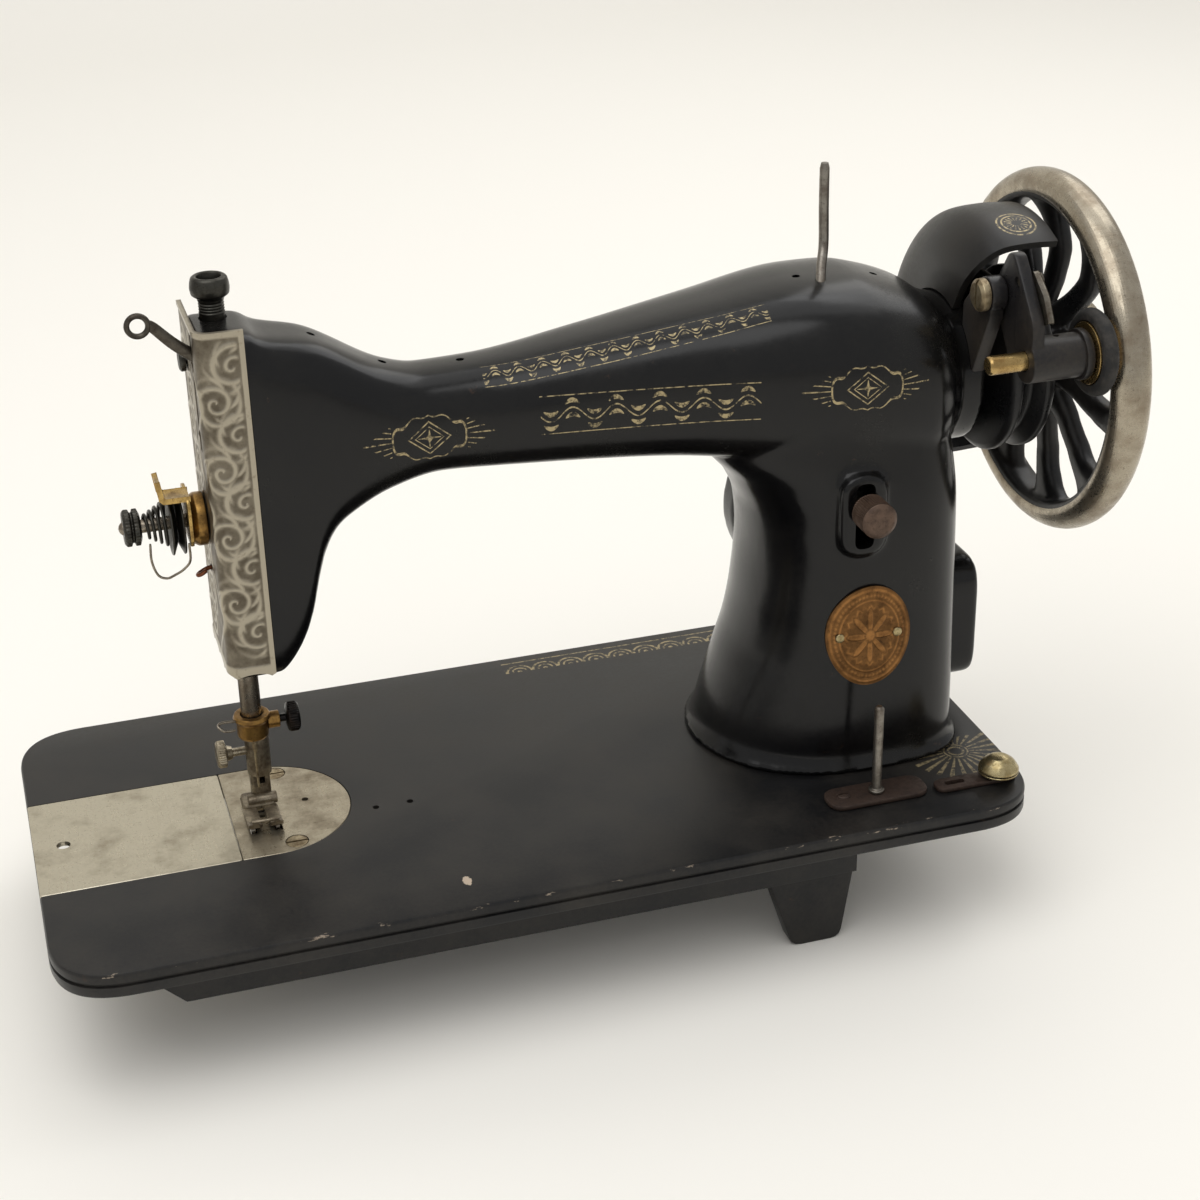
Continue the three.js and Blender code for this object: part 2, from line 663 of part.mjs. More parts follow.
const pressureTop = 209;
const pressureHead = [[screwSleeve, 3.2 + gap], [screwSleeve, 4.5], [pressureNeck - 1, 4.5],
  [pressureNeck, 4], [pressureNeck + 4, 4.4],
  [pressureNeck + 5.5, 6.4], [pressureTop - 2.5, 6.7], [pressureTop, 5.6], [pressureTop, 3.8],
  [pressureTop - 5, 3.2 + gap],
  [screwSleeve, 3.2 + gap]];
add('pressure_screw', lathe(pressureHead, 'z', presserX, presserY, 14), 'darkSteel');

function presserFoot() {
  const sleeve = ring('z', 13.5, 31, footSleeve, presserRadius + gap, presserX, presserY);
  const neck = box(presserX - 4, presserX + 3.5, presserY - 3.4, presserY + 3.6, 1.8, 15);
  const bore = rod('z', 14.7, 40, presserRadius + gap, presserX, presserY);
  const sole = slab(roundedShape(needleX - 6.5, needleX + 6.5, needleY - 10, presserY + 4, 2), 'z', 0.6,
    2.4);
  const toeShape = polygonShape([[needleY - 9.5, 0.6], [needleY - 8.5, 2.4], [needleY - 12, 4.6],
    [needleY - 13.4, 3.6]]);
  const toe = slab(toeShape, 'x', needleX - 5.5, needleX + 5.5);
  let body = sleeve.add(neck).subtract(bore).add(sole).add(toe);
  body = body.subtract(rod('z', -1, 5, 1.9, needleX, needleY, 10));
  body = body.subtract(box(needleX - 1, needleX + 1, needleY - 20, needleY - 4.5, -1, 8));
  return body.subtract(rod('x', presserX - 8, presserX - 3, 1.6 + gap, presserY, 23.6, 10));
}
add('presser_foot', presserFoot(), 'nickel');
const footScrewFace = 71;
add('presser_foot_screw', lathe([[footScrewFace, 0], [footScrewFace, 4.6], [footScrewFace + 0.8, 5.2],
  [footScrewFace + 3.4, 5.2],
  [footScrewFace + 4, 3], [footScrewFace + 6, 2.4], [footScrewFace + 6, 1.6],
  [presserX - presserRadius - 0.5, 1.6],
  [presserX - presserRadius - 0.5, 0]], 'x', presserY, 23.6, 14), 'nickel');

// lifting lever behind the head, on a short shaft with its cam under the presser collar
const lifterX = 90;
const lifterZ = 96;
function presserLifter() {
  const shaft = rod('y', presserY + 3.6, headHalf + 2.5, 3, lifterX, lifterZ);
  const hub = rod('y', headHalf + 0.8, headHalf + 5, 6, lifterX, lifterZ);
  const handle = wire([[lifterX, headHalf + 2.9, lifterZ], [lifterX + 7, headHalf + 3.4, lifterZ - 8],
    [lifterX + 10, headHalf + 5, lifterZ - 20], [lifterX + 9, headHalf + 9, lifterZ - 31]], 2.2, 8, 14);
  return shaft.add(hub).add(handle);
}
add('presser_lifter', presserLifter(), 'steel');

// ---- take-up lever ----
const eyeX = 59.7;
const eyeZ = 199.2;
function takeUpLever() {
  const reach = [[takeUpX, takeUpY, takeUpZ], [89, takeUpY, 179.6], [plateFaceX + 3, takeUpY, 185.4],
    [plateFaceX - 5, takeUpY, 191.5], [eyeX + 4.5, takeUpY, eyeZ - 0.5], [eyeX, takeUpY, eyeZ]];
  const flat = box(-300, 500, takeUpY - 1.1, takeUpY + 1.1, 0, 400);
  let body = wire(reach, 2.3, 10, 10).intersect(flat);
  body = body.add(rod('y', takeUpY - 1.1, takeUpY + 1.1, 5.5, takeUpX, takeUpZ));
  body = body.add(rod('y', takeUpY - 1.1, takeUpY + 1.1, 4.6, eyeX, eyeZ));
  body = body.subtract(rod('y', -40, 40, 2.5 + gap, takeUpX, takeUpZ, 10));
  return body.subtract(rod('y', -40, 40, 2.7, eyeX, eyeZ, 10));
}
add('take_up_lever', takeUpLever(), 'steel');

// ---- thread tension on the head's left end ----
const tensionBase = [66.8, plateFaceX - gap];
add('tension_stud', lathe([[45.6, 0], [46.4, 1.8], [47.4, 2.4], [tensionBase[0] - 0.2, 2.4],
  [tensionBase[0], 2.4],
  [headLeft + 1.5, 2.4], [headLeft + 1.5, 0]], 'x', 0, tensionZ, 10), 'steel');
add('tension_base', lathe([[70.6, 2.4 + gap], [70.6, 8.4], [72.6, 9.6], [tensionBase[1], 9.6],
  [tensionBase[1], 2.4 + gap],
  [70.6, 2.4 + gap]], 'x', 0, tensionZ, 14), 'brass');
const discRadius = 11.8;
function tensionDisc(face, side) {
  const bore = 2.4 + gap;
  return lathe([[face, bore], [face, 8], [face + side * 1.6, discRadius],
    [face + side * 2.3, discRadius - 0.2], [face + side * 0.8, 8],
    [face + side * 0.8, bore], [face, bore]], 'x', 0, tensionZ, 14);
}
add('tension_disc_outer', tensionDisc(65.2, -1), 'darkSteel');
add('tension_disc_inner', tensionDisc(65.6, 1), 'darkSteel');
function tensionSpring() {
  const points = [];
  const steps = 28;
  for (let i = 0; i <= steps; i += 1) {
    const t = i / steps;
    const angle = t * 3.6 * Math.PI * 2;
    const radius = 3.7 + 4.6 * t;
    points.push([54.6 + 8.2 * t, radius * Math.cos(angle), tensionZ + radius * Math.sin(angle)]);
  }
  return wire(points, 0.6, 4, steps);
}
add('tension_spring', tensionSpring(), 'darkSteel');
add('tension_nut', lathe([[47.2, 2.4 + gap], [47.2, 5.6], [48, 6.6], [49.6, 6.6], [50, 5.4], [50.6, 5.4],
  [51, 6.6], [52.6, 6.6],
  [53.4, 4.4], [53.4, 2.4 + gap], [47.2, 2.4 + gap]], 'x', 0, tensionZ, 14), 'darkSteel');
// bent strip whose foot is held under the discs and whose arm passes over their front
function tensionGuide() {
  const over = tensionZ + discRadius + 0.4;
  const strip = polygonShape([[70.3, over], [61.4, over], [60, over + 1.4], [59.2, over + 8],
    [60.6, over + 8.2],
    [61.6, over + 1.6], [70.3, over + 1.4]]);
  const foot = slab(roundedShape(-13.4, 5, tensionZ - 6, over + 1.4, 4), 'x', 69, 70.3);
  return slab(strip, 'y', -12, -3).add(foot).subtract(rod('x', 60, 80, 2.4 + gap, 0, tensionZ));
}
add('tension_guide', tensionGuide(), 'brass');
add('check_spring', wire([[55.5, -6, 118.5], [55.3, -6.5, 112], [57, -5.5, 106], [60, -5, 104],
  [63, -6, 105.4],
  [66, -8, 108], [68.2, -11, 112.4], [68.3, -12.4, 119.5]], 0.45, 5, 10), 'steel');
add('thread_hook', wire([[plateFaceX + 3.6, 0, 103.5], [plateFaceX - 0.6, 0, 103.5],
  [plateFaceX - 3.6, -0.6, 102.6],
  [plateFaceX - 5, -2.2, 102.3], [plateFaceX - 4, -3.6, 103], [plateFaceX - 2, -3.6, 104.2]], 0.8, 8,
  10), 'darkSteel');

// ---- crank, link and arm shaft inside the arm ----
const crankFace = 97;
const crankThick = 4;
const pinRadius = 2.2;
const linkX = [92, 94.2];
const linkLowY = needleY - 1.5;
const blockZ = 112;
function needleCrank() {
  const high = shaftZ + crankThrow;
  const arm = polygonShape([[-7, shaftZ], [-3.2, high], [3.2, high], [7, shaftZ], [11, shaftZ - 12],
    [-11, shaftZ - 12]]);
  let body = slab(arm, 'x', crankFace, crankFace + crankThick);
  body = body.add(rod('x', crankFace, crankFace + crankThick, 3.2, 0, high));
  body = body.add(rod('x', crankFace, 111, 10.5, 0, shaftZ, 10));
  body = body.add(rod('x', linkX[1] + gap, crankFace + 1, pinRadius, 0, high, 10));
  return body;
}

function needleBlock() {
  const sleeve = ring('z', blockZ - 4.5, blockZ + 4.5, 6.4, needleBarRadius + gap, needleX, needleY);
  const stud = rod('x', needleX + 4.4, linkX[1] + 0.2, 2, linkLowY, blockZ, 14);
  return sleeve.add(stud).subtract(box(60, 120, -1.2, 20, 90, 130));
}
function needleLink() {
  const high = shaftZ + crankThrow;
  const strap = polygonShape([[linkLowY - 2.4, blockZ], [linkLowY + 2.4, blockZ], [2.4, high],
    [-2.4, high]]);
  const body = slab(strap, 'x', ...linkX).add(rod('x', ...linkX, 4.2, linkLowY, blockZ))
    .add(rod('x', ...linkX, 4.2, 0, high));
  return body.subtract(rod('x', 80, 100, pinRadius, 0, high, 10)).add(needleBlock());
}
add('needle_bar_link', needleLink(), 'steel');

const shaftEnd = hubEnd + 7.5;
const rodX = [297, 303];
const eccentricRadius = 9;
const armShaft = rod('x', crankFace + 1, shaftEnd, shaftRadius, 0, shaftZ, 14).add(needleCrank());
add('arm_shaft', armShaft.add(rod('x', rodX[0] + 0.5, rodX[1] - 0.5, eccentricRadius, 0, shaftZ + 1.5)),
  'steel');

// the rod down the pillar; its upper end is an open fork round the eccentric
const rockerReach = 16;
function connectingRod() {
  const fork = ring('x', ...rodX, 15, 11.5, 0, shaftZ, 32)
    .subtract(box(290, 310, -20, 20, shaftZ + 3, shaftZ + 20));
  const shank = polygonShape([[-4.5, shaftZ - 12.5], [2.5, shaftZ - 12.5], [3 - rockerReach, hookZ + 3],
    [-3.5 - rockerReach, hookZ + 3]]);
  const body = fork.add(slab(shank, 'x', ...rodX)).add(rod('x', ...rodX, 6, -rockerReach, hookZ));
  return body.subtract(rod('x', 290, 310, 2 + gap, -rockerReach, hookZ, 10));
}
add('connecting_rod', connectingRod(), 'steel');

// ---- handwheel ----
function handwheel() {
  const left = wheelX - rimWidth / 2;
  const right = wheelX + rimWidth / 2;
  const inner = wheelRadius - rimDeep;
  const rim = [[left + 1, inner], [left, inner + 1.6], [left, wheelRadius - 3],
    [left + 2, wheelRadius - 0.8], [wheelX, wheelRadius],
    [right - 2, wheelRadius - 0.8], [right, wheelRadius - 3], [right, inner + 1.6], [right - 1, inner],
    [left + 1, inner]];
  const hub = [[pulleyLeft, shaftRadius + gap], [pulleyLeft, pulleyRadius - 2],
    [pulleyLeft + 1.5, pulleyRadius],
    [pulleyLeft + 4, pulleyRadius], [pulleyLeft + 7.5, pulleyRadius - 6],
    [pulleyLeft + 10.5, pulleyRadius - 6],
    [pulleyLeft + 14, pulleyRadius], [pulleyLeft + 16.5, pulleyRadius],
    [pulleyLeft + 18, pulleyRadius - 2],
    [pulleyLeft + 20, hubRadius + 3], [pulleyLeft + 24, hubRadius], [hubEnd, hubRadius],
    [hubEnd, shaftRadius + gap],
    [pulleyLeft, shaftRadius + gap]];
  let body = lathe(rim, 'x', 0, shaftZ, 30).add(lathe(hub, 'x', 0, shaftZ, 14));
  const spokeLine = [[wheelX - 3, hubRadius - 3], [wheelX + 2.5, 27], [wheelX + 4.5, 40],
    [wheelX + 2.5, 51], [wheelX, inner + 3]];
  for (let i = 0; i < spokes; i += 1) {
    const angle = ((i + 0.67) / spokes) * Math.PI * 2;
    const points = spokeLine.map(([x, r]) => [x, -r * Math.sin(angle), shaftZ + r * Math.cos(angle)]);
    body = body.add(wire(points, 3.7, 5, 4));
  }
  return body;
}
add('handwheel', handwheel(), 'japan');
const washerThick = 1.2;
add('stop_motion_washer', ring('x', hubEnd + gap, hubEnd + gap + washerThick, 14, shaftRadius + gap, 0,
  shaftZ, 14), 'steel');
const knobFace = hubEnd + 2 * gap + washerThick;
add('stop_motion_knob', lathe([[knobFace, shaftRadius + gap], [knobFace, hubRadius + 0.5],
  [knobFace + 1, hubRadius + 1.2],
  [knobEnd - 4, hubRadius + 1.2], [knobEnd - 3, hubRadius], [knobEnd - 2.4, 9], [knobEnd, 8],
  [knobEnd, 0], [shaftEnd + gap, 0],
  [shaftEnd + gap, shaftRadius + gap], [knobFace, shaftRadius + gap]], 'x', 0, shaftZ, 14), 'nickel');

// ---- belt guard over the belt pulley ----
const guardFrom = -26;
const guardTo = 150;
function beltGuard() {
  const outer = [[356, bossRadius + 0.6], [357, 42], [361, 51], [368, 57.2], [379, 58.6], [391, 58]];
  const inner = [[391, 55.2], [379, 55.8], [369.5, 54.4], [363.4, 49], [359.8, 41],
    [358.8, bossRadius + 0.6], [356, bossRadius + 0.6]];
  const shell = lathe([...outer, ...inner], 'x', 0, shaftZ, 20);
  const fan = [[0, shaftZ]];
  for (let angle = guardFrom; angle <= guardTo; angle += (guardTo - guardFrom) / 8) {
    const t = (angle * Math.PI) / 180;
    fan.push([120 * Math.sin(t), shaftZ + 120 * Math.cos(t)]);
  }
  return shell.intersect(slab(polygonShape(fan), 'x', 340, 400));
}
add('belt_guard', beltGuard(), 'japan');

// ---- bobbin winder in front of the arm's boss ----
const winderPivot = [-36, 183];
function winderBracket() {
  const shape = polygonShape([[-20, 171], [winderPivot[0] + 5, winderPivot[1] + 5],
    [winderPivot[0] - 5, winderPivot[1] + 3],
    [winderPivot[0] - 4, winderPivot[1] - 8], [-27, 148], [-20, 150]]);
  let body = slab(shape, 'x', 357.5, 363.5).add(rod('x', 357.5, 363.5, 6.5, ...winderPivot));
  body = body.subtract(rod('x', 340, 380, bossRadius + gap, 0, shaftZ, 48))
    .subtract(box(340, 400, -19, 40, 100, 200));
  return body.subtract(rod('x', 340, 380, 2.5 + gap, ...winderPivot, 10));
}
add('winder_bracket', winderBracket(), 'japan');
const framePlate = [winderBarrelLeft, winderBarrelLeft + 5];
function winderFrame() {
  const shape = polygonShape([[winderY - 6, winderZ], [winderY - 5, 178], [-50, 192], [-43.5, 199.5],
    [-39, 199],
    [-33, 190], [-29.5, 184], [-32, 176], [-45, 158], [winderY, winderZ - 7]]);
  let body = slab(shape, 'x', ...framePlate)
    .add(rod('x', framePlate[0], winderBarrelRight, 8.2, winderY, winderZ, 10));
  body = body.add(ring('x', winderBarrelRight - 3, winderBarrelRight, 9.4, 5, winderY, winderZ));
  body = body.subtract(rod('x', 340, 400, 3.5 + gap, winderY, winderZ, 10));
  return body.subtract(rod('x', 340, 380, 2.5 + gap, ...winderPivot, 10))
    .subtract(rod('x', 340, 380, 1.8 + gap, ...latchPivot, 10));
}
const latchPivot = [-47, 190];
add('winder_frame', winderFrame(), 'japan');
const tyreLeft = winderBarrelRight + 0.6;
const pulleyRim = tyreRadius - 4.6;
add('winder_spindle', lathe([[349.5, 0], [349.5, 2.9], [350.5, 3.5], [tyreLeft, 3.5],
  [tyreLeft, pulleyRim],
  [tyreLeft + tyreWidth, pulleyRim], [tyreLeft + tyreWidth, 3.5], [tyreLeft + tyreWidth + 1, 3.5],
  [tyreLeft + tyreWidth + 1, 0]],
'x', winderY, winderZ, 14), 'brass');
const treadInner = pulleyRim + gap;
add('winder_tyre', lathe([[tyreLeft + 0.4, treadInner], [tyreLeft + 0.4, tyreRadius - 1.6],
  [tyreLeft + 2, tyreRadius],
  [tyreLeft + tyreWidth - 2, tyreRadius], [tyreLeft + tyreWidth - 0.4, tyreRadius - 1.6],
  [tyreLeft + tyreWidth - 0.4, treadInner],
  [tyreLeft + 0.4, treadInner]], 'x', winderY, winderZ, 18), 'rubber');
const pivotHead = [353.6, 357.2];
add('winder_screw', lathe([[pivotHead[0], 0], [pivotHead[0], 4.6], [pivotHead[0] + 1, 6],
  [pivotHead[1], 6], [pivotHead[1], 2.5],
  [framePlate[1] - 0.2, 2.5], [framePlate[1] - 0.2, 0]], 'x', ...winderPivot, 10).subtract(
  box(pivotHead[0] - 1, pivotHead[0] + 1, winderPivot[0] - 0.6, winderPivot[0] + 0.6, 170, 200)),
    'steel');
function winderLatch() {
  const face = framePlate[1] + gap;
  const shape = polygonShape([[latchPivot[0] + 4, latchPivot[1] + 1],
    [latchPivot[0] - 1, latchPivot[1] + 4], [-57, 187],
    [-62, 178.5], [-58.5, 177.5], [-53, 184], [latchPivot[0] + 1, latchPivot[1] - 4]]);
  return slab(shape, 'x', face, face + 2.4)
    .add(rod('x', framePlate[0] + 1, face + 4, 1.8, ...latchPivot, 10));
}
add('winder_latch', winderLatch(), 'steel');

// ---- spool pins and bobbin thread tension on the bed ----
add('spool_pin', wire(spoolPinPath(), spoolPinRadius, 10, 12), 'steel');
const basePlateZ = [gap, 2.2];
const lowerPin = [308, -67];
const basePlate = slab(roundedShape(288, 328, -73.5, -59.5, 6.9), 'z', ...basePlateZ);
add('bobbin_base_plate', basePlate.subtract(rod('z', -1, 5, 1.8 + gap, ...lowerPin, 10)), 'brown');
add('lower_spool_pin', lathe([[basePlateZ[0] + 0.1, 0], [basePlateZ[0] + 0.1, 1.8], [2.6, 1.8], [2.6, 3],
  [3.6, 3], [3.8, 1.8], [38, 1.8],
  [39, 1], [39, 0]], 'z', ...lowerPin, 14), 'steel');
const discCentre = [357, -70.5];
function bobbinBracket() {
  const strip = slab(roundedShape(331, 364, -74, -66, 3.9), 'z', gap, 2)
    .subtract(slab(roundedShape(335, 343, -71.4, -68.8, 1.2), 'z', -1, 5));
  return strip.subtract(rod('z', -1, 5, 1.5 + gap, ...discCentre, 10));
}
add('bobbin_bracket', bobbinBracket(), 'brown');
const discHalf = 7.7;
add('bobbin_disc_lower', lathe([[3.2, 1.8], [2.3, 3.4], [3.6, discHalf], [4.3, discHalf], [3.4, 3.4],
  [4.2, 1.8], [3.2, 1.8]],
  'z', ...discCentre, 14), 'brass');
add('bobbin_disc_upper', lathe([[0.4, 0], [0.4, 1.5], [5.2, 1.5], [5.2, 3.4], [4.6, discHalf],
  [6, discHalf], [8.6, 6], [10.2, 3.4], [10.6, 0]],
  'z', ...discCentre, 14), 'brass');

// ---- stitch length lever and knob on the pillar ----
const leverZ = 110.5;
const leverEnd = -57.5;
function stitchLever() {
  const stem = rod('y', leverEnd, -32, 3, slotX, leverZ, 10);
  return stem.add(slab(roundedShape(slotX - 6, slotX + 6, leverZ - 7, leverZ + 7, 2), 'y', -34, -31.5));
}
add('stitch_lever', stitchLever(), 'steel');
const knobIn = -46.2;
add('stitch_length_knob', lathe([[leverEnd - 2.4, 0], [leverEnd - 2.4, 5.6], [leverEnd - 1.4, 6.8],
  [knobIn - 3, 6.8], [knobIn - 2.4, 5],
  [knobIn, 5], [knobIn, 3 + gap], [leverEnd - gap, 3 + gap], [leverEnd - gap, 0]], 'y', slotX, leverZ,
  14), 'brown');

// ---- badge on the pillar ----
function badge() {
  const oval = slab(ovalShape(badgeX, badgeZ, 16.5, 20.5), 'y', -80, 0, 10);
  const skin = pillarLoft(30, 90, -1.5).subtract(pillarLoft(29, 91, -gap));
  let body = skin.intersect(oval);
  badgePins.forEach((x) => {
    const face = -pillarFront(x, badgeZ) - 1.2;
    body = body.add(lathe([[face - 1, 0], [face - 0.6, 1.7], [face, 1.9], [face, 1.2], [face + 4, 1.2],
      [face + 4, 0]],
      'y', x, badgeZ, 10));
  });
  return body;
}
add('badge', badge(), 'brass');

// ---- inspection cover behind the pillar ----
const coverScrewZ = coverZ + coverHalfTall - 5;
const coverFace = coverPadY + gap;
const coverPlate = slab(ovalShape(slotX, coverZ, coverHalfWide, coverHalfTall), 'y', coverFace,
  coverFace + 1.6, 10);
add('rear_cover', coverPlate.subtract(rod('y', 40, 60, 1.8 + gap, slotX, coverScrewZ, 10)), 'nickel');
add('rear_cover_screw', slottedScrew('y', [coverFace + 1.9, coverFace + 3.6], coverPadY - 6, slotX,
  coverScrewZ, 4, 1.8), 'steel');

// ---- shuttle, its race and its rocking shaft under the bed ----
function shuttleRace() {
  const race = ring('x', raceLeft, raceLeft + raceWidth, raceRadius, 17.5, 0, hookZ, 20);
  let body = race.add(box(raceLeft, raceLeft + raceWidth, -9, 9, -standHeight, hookZ - 18.5));
  [-1, 1].forEach((side) => {
    const [a, b] = [side * 21.3, side * 26.5];
    body = body.add(box(raceLeft, raceLeft + raceWidth, Math.min(a, b), Math.max(a, b), hookZ - 3,
      -bedSkin - gap));
    body = body.add(box(raceLeft, raceLeft + raceWidth, Math.min(a, b) - 2, Math.max(a, b) + 2,
      hookZ - 3, hookZ + 3));
  });
  body = body.subtract(rod('x', raceLeft - 1, raceLeft + raceWidth + 1, 17.5, 0, hookZ, 20));
  return body.subtract(rod('z', hookZ + 5, 0, 2.6, needleX, needleY, 10));
}
add('shuttle_race', shuttleRace(), 'darkSteel');
const shuttleRadius = 17.2;
const postLeft = 70.4;
const shuttleCup = lathe([[postLeft, 0], [postLeft, 2.4], [88, 2.4], [88, 12.5], [79, 12.5],
  [79, shuttleRadius], [91, shuttleRadius],
  [91, 0]], 'x', 0, hookZ, 20);
add('shuttle_hook', shuttleCup.subtract(box(78, 87, 4, 30, hookZ + 2, hookZ + 30)), 'steel');
add('bobbin_case', lathe([[71, 2.4 + gap], [71, 11], [72, 12.1], [86.5, 12.1], [86.5, 11.2],
  [72.2, 11.2], [72.2, 2.4 + gap], [71, 2.4 + gap]],
  'x', 0, hookZ, 14), 'nickel');
add('bobbin', lathe([[72.8, 2.4 + gap], [72.8, 10.6], [73.8, 10.6], [73.8, 4], [86, 4], [86, 10.6],
  [87, 10.6], [87, 2.4 + gap],
  [72.8, 2.4 + gap]], 'x', 0, hookZ, 14), 'steel');

function hookRocker() {
  const hub = rod('x', 290.7, 296.6, 8, 0, hookZ);
  const arm = slab(roundedShape(-rockerReach - 5, 0, hookZ - 5, hookZ + 5, 4.9), 'x', 290.7, 296.6);
  const pin = rod('x', 290.7, rodX[1] + 0.6, 2, -rockerReach, hookZ);
  return hub.add(arm).add(pin);
}
const driver = lathe([[91.4, 0], [91.4, 12], [95, 12], [95, 7], [101, 7], [101, 0]], 'x', 0, hookZ, 14);
add('hook_shaft', rod('x', 94, 296, hookShaftRadius, 0, hookZ, 10).add(driver).add(hookRocker()),
  'steel');

// ---- feed under the needle plate ----
const feedPinZ = -14;
const feedBarX = [97, 103];
function feedRockArm() {
  const strap = slab(polygonShape([[feedShaftY - 4.5, feedShaftZ], [feedShaftY + 4.5, feedShaftZ],
    [feedShaftY + 3, feedPinZ],
    [feedShaftY - 3, feedPinZ]]), 'x', 93, 96.6);
  const body = strap.add(rod('x', 93, 96.6, 7, feedShaftY, feedShaftZ))
    .add(rod('x', 93, 96.6, 4, feedShaftY, feedPinZ));
  return body.add(rod('x', 93, feedBarX[1] + 0.8, 1.8, feedShaftY, feedPinZ, 10));
}
add('feed_rock_shaft', rod('x', 92.6, 300, 4, feedShaftY, feedShaftZ, 10).add(feedRockArm()), 'steel');
function feedBar() {
  const side = polygonShape([[feedShaftY, feedPinZ - 3.4], [feedShaftY, feedPinZ + 3.4], [20, -8.2],
    [13, -3.4], [-14, -3.4],
    [-14, -8], [14, -8], [20, -13]]);
  const body = slab(side, 'x', ...feedBarX).add(rod('x', ...feedBarX, 4.4, feedShaftY, feedPinZ));
  return body.subtract(rod('x', 90, 110, 1.8 + gap, feedShaftY, feedPinZ, 10));
}
add('feed_bar', feedBar(), 'steel');
function feedDog() {
  let body = box(needleX - 5.5, feedBarX[0] - gap, feedFront, feedBack, -6.5, -3.6);
  feedRows.forEach((row) => {
    const x = needleX + row;
    const front = row === 0 ? needleY + 5 : feedFront;
    body = body.add(box(x - feedRowWide / 2, x + feedRowWide / 2, front, feedBack, -4, -0.3));
  });
  return body.subtract(rod('z', -20, 0, 2.7, needleX, needleY, 10));
}
add('feed_dog', feedDog(), 'steel');

export default machine;
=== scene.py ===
"""A cast-iron household sewing machine head on a pale floor: bed, arm, plates, stitching and winding gear."""
import json
import math

import bmesh
import bpy
import numpy as np
from mathutils import Matrix


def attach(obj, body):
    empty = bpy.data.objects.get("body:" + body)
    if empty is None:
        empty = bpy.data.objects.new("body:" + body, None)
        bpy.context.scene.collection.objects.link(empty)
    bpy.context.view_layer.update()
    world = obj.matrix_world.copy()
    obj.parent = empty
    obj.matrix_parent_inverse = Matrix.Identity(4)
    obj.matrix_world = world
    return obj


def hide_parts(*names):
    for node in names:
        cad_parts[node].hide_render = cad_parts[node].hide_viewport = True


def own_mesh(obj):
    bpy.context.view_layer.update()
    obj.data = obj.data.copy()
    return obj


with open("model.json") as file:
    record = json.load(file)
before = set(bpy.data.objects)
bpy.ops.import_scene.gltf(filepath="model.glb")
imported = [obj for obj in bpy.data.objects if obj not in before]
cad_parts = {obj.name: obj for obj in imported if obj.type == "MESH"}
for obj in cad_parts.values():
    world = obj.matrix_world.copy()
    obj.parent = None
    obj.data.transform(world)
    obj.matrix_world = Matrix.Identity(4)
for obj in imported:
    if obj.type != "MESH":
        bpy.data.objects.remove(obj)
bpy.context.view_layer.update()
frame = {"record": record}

# ---- bed ----
# The bed is one grey-iron casting: a flat top with rounded corners and a step round its edge, two rails
# and two legs under it, and lugs that carry the shafts. It is japanned black, rubbed back and varnished,
# and its gold transfers are worn to a scalloped border at the back and a fan by the right front corner.
MM = 0.001
# From the bed's left end, centre line and top, where its millimetres start, to the model's own frame.
BED_LEFT = np.array([-212.0, 0.0, 56.0])
BODIES = {node: body for body, nodes in frame["record"]["behaviour"]["bodies"].items() for node in nodes}


def soften(line, cut, closed=False, count=4):
    """Each corner gives way to a quadratic curve that leaves its two sides at most `cut` from the corner."""
    line = np.asarray(line, float)
    if closed and np.allclose(line[0], line[-1]):
        line = line[:-1]
    middle = line if closed else line[1:-1]
    before = np.roll(line, 1, 0) if closed else line[:-2]
    after = np.roll(line, -1, 0) if closed else line[2:]
    back, ahead = before - middle, after - middle
    back_length = np.linalg.norm(back, axis=1, keepdims=True)
    ahead_length = np.linalg.norm(ahead, axis=1, keepdims=True)
    reach = np.minimum(cut, 0.45 * np.minimum(back_length, ahead_length))
    start, end = middle + back / back_length * reach, middle + ahead / ahead_length * reach
    t = np.linspace(0, 1, count)[None, :, None]
    curve = (1 - t) ** 2 * start[:, None] + 2 * t * (1 - t) * middle[:, None] + t**2 * end[:, None]
    curve = curve.reshape(-1, line.shape[1])
    return curve if closed else np.concatenate([line[:1], curve, line[-1:]])


def skin(rows, wrap=False):
    """Four-sided faces over equal closed rings; the last ring meets the first, or both ends are capped."""
    rows = np.asarray(rows, float)
    count, around = rows.shape[:2]
    i, j = np.meshgrid(np.arange(count if wrap else count - 1), np.arange(around), indexing="ij")
    here, there, beside = i * around, (i + 1) % count * around, (j + 1) % around
    quads = np.stack([here + j, here + beside, there + beside, there + j], -1).reshape(-1, 4)
    ends = [] if wrap else [np.arange(around)[::-1], np.arange(around) + (count - 1) * around]
    return rows.reshape(-1, 3), [*quads.tolist(), *[end.tolist() for end in ends]]


def outset(outline, distance):
    """Each corner moves out by the distance over the cosine of half its turn, along the halved angle."""
    before = outline - np.roll(outline, 1, 0)
    after = np.roll(outline, -1, 0) - outline
    before = before / np.linalg.norm(before, axis=1, keepdims=True)
    after = after / np.linalg.norm(after, axis=1, keepdims=True)
    both = np.stack([before[:, 1] + after[:, 1], -before[:, 0] - after[:, 0]], 1)
    return outline + distance * 2 * both / np.sum(both**2, 1, keepdims=True)


def stacked(outline, axis, steps):
    """The outline at each place along an axis, drawn in by that place's inset."""
    column = "xyz".index(axis)
    return skin([np.insert(outset(outline, -inset), column, at, axis=1) for at, inset in steps])


def plate(outline, axis, low, high, cut=0.4):
    """An outline carried along an axis from low to high, with both edges rounded by `cut`."""
    outline = np.asarray(outline, float)
    return stacked(outline, axis, [(low, cut), (low + 0.3 * cut, 0.3 * cut), (low + cut, 0),
                                   (high - cut, 0), (high - 0.3 * cut, 0.3 * cut), (high, cut)])


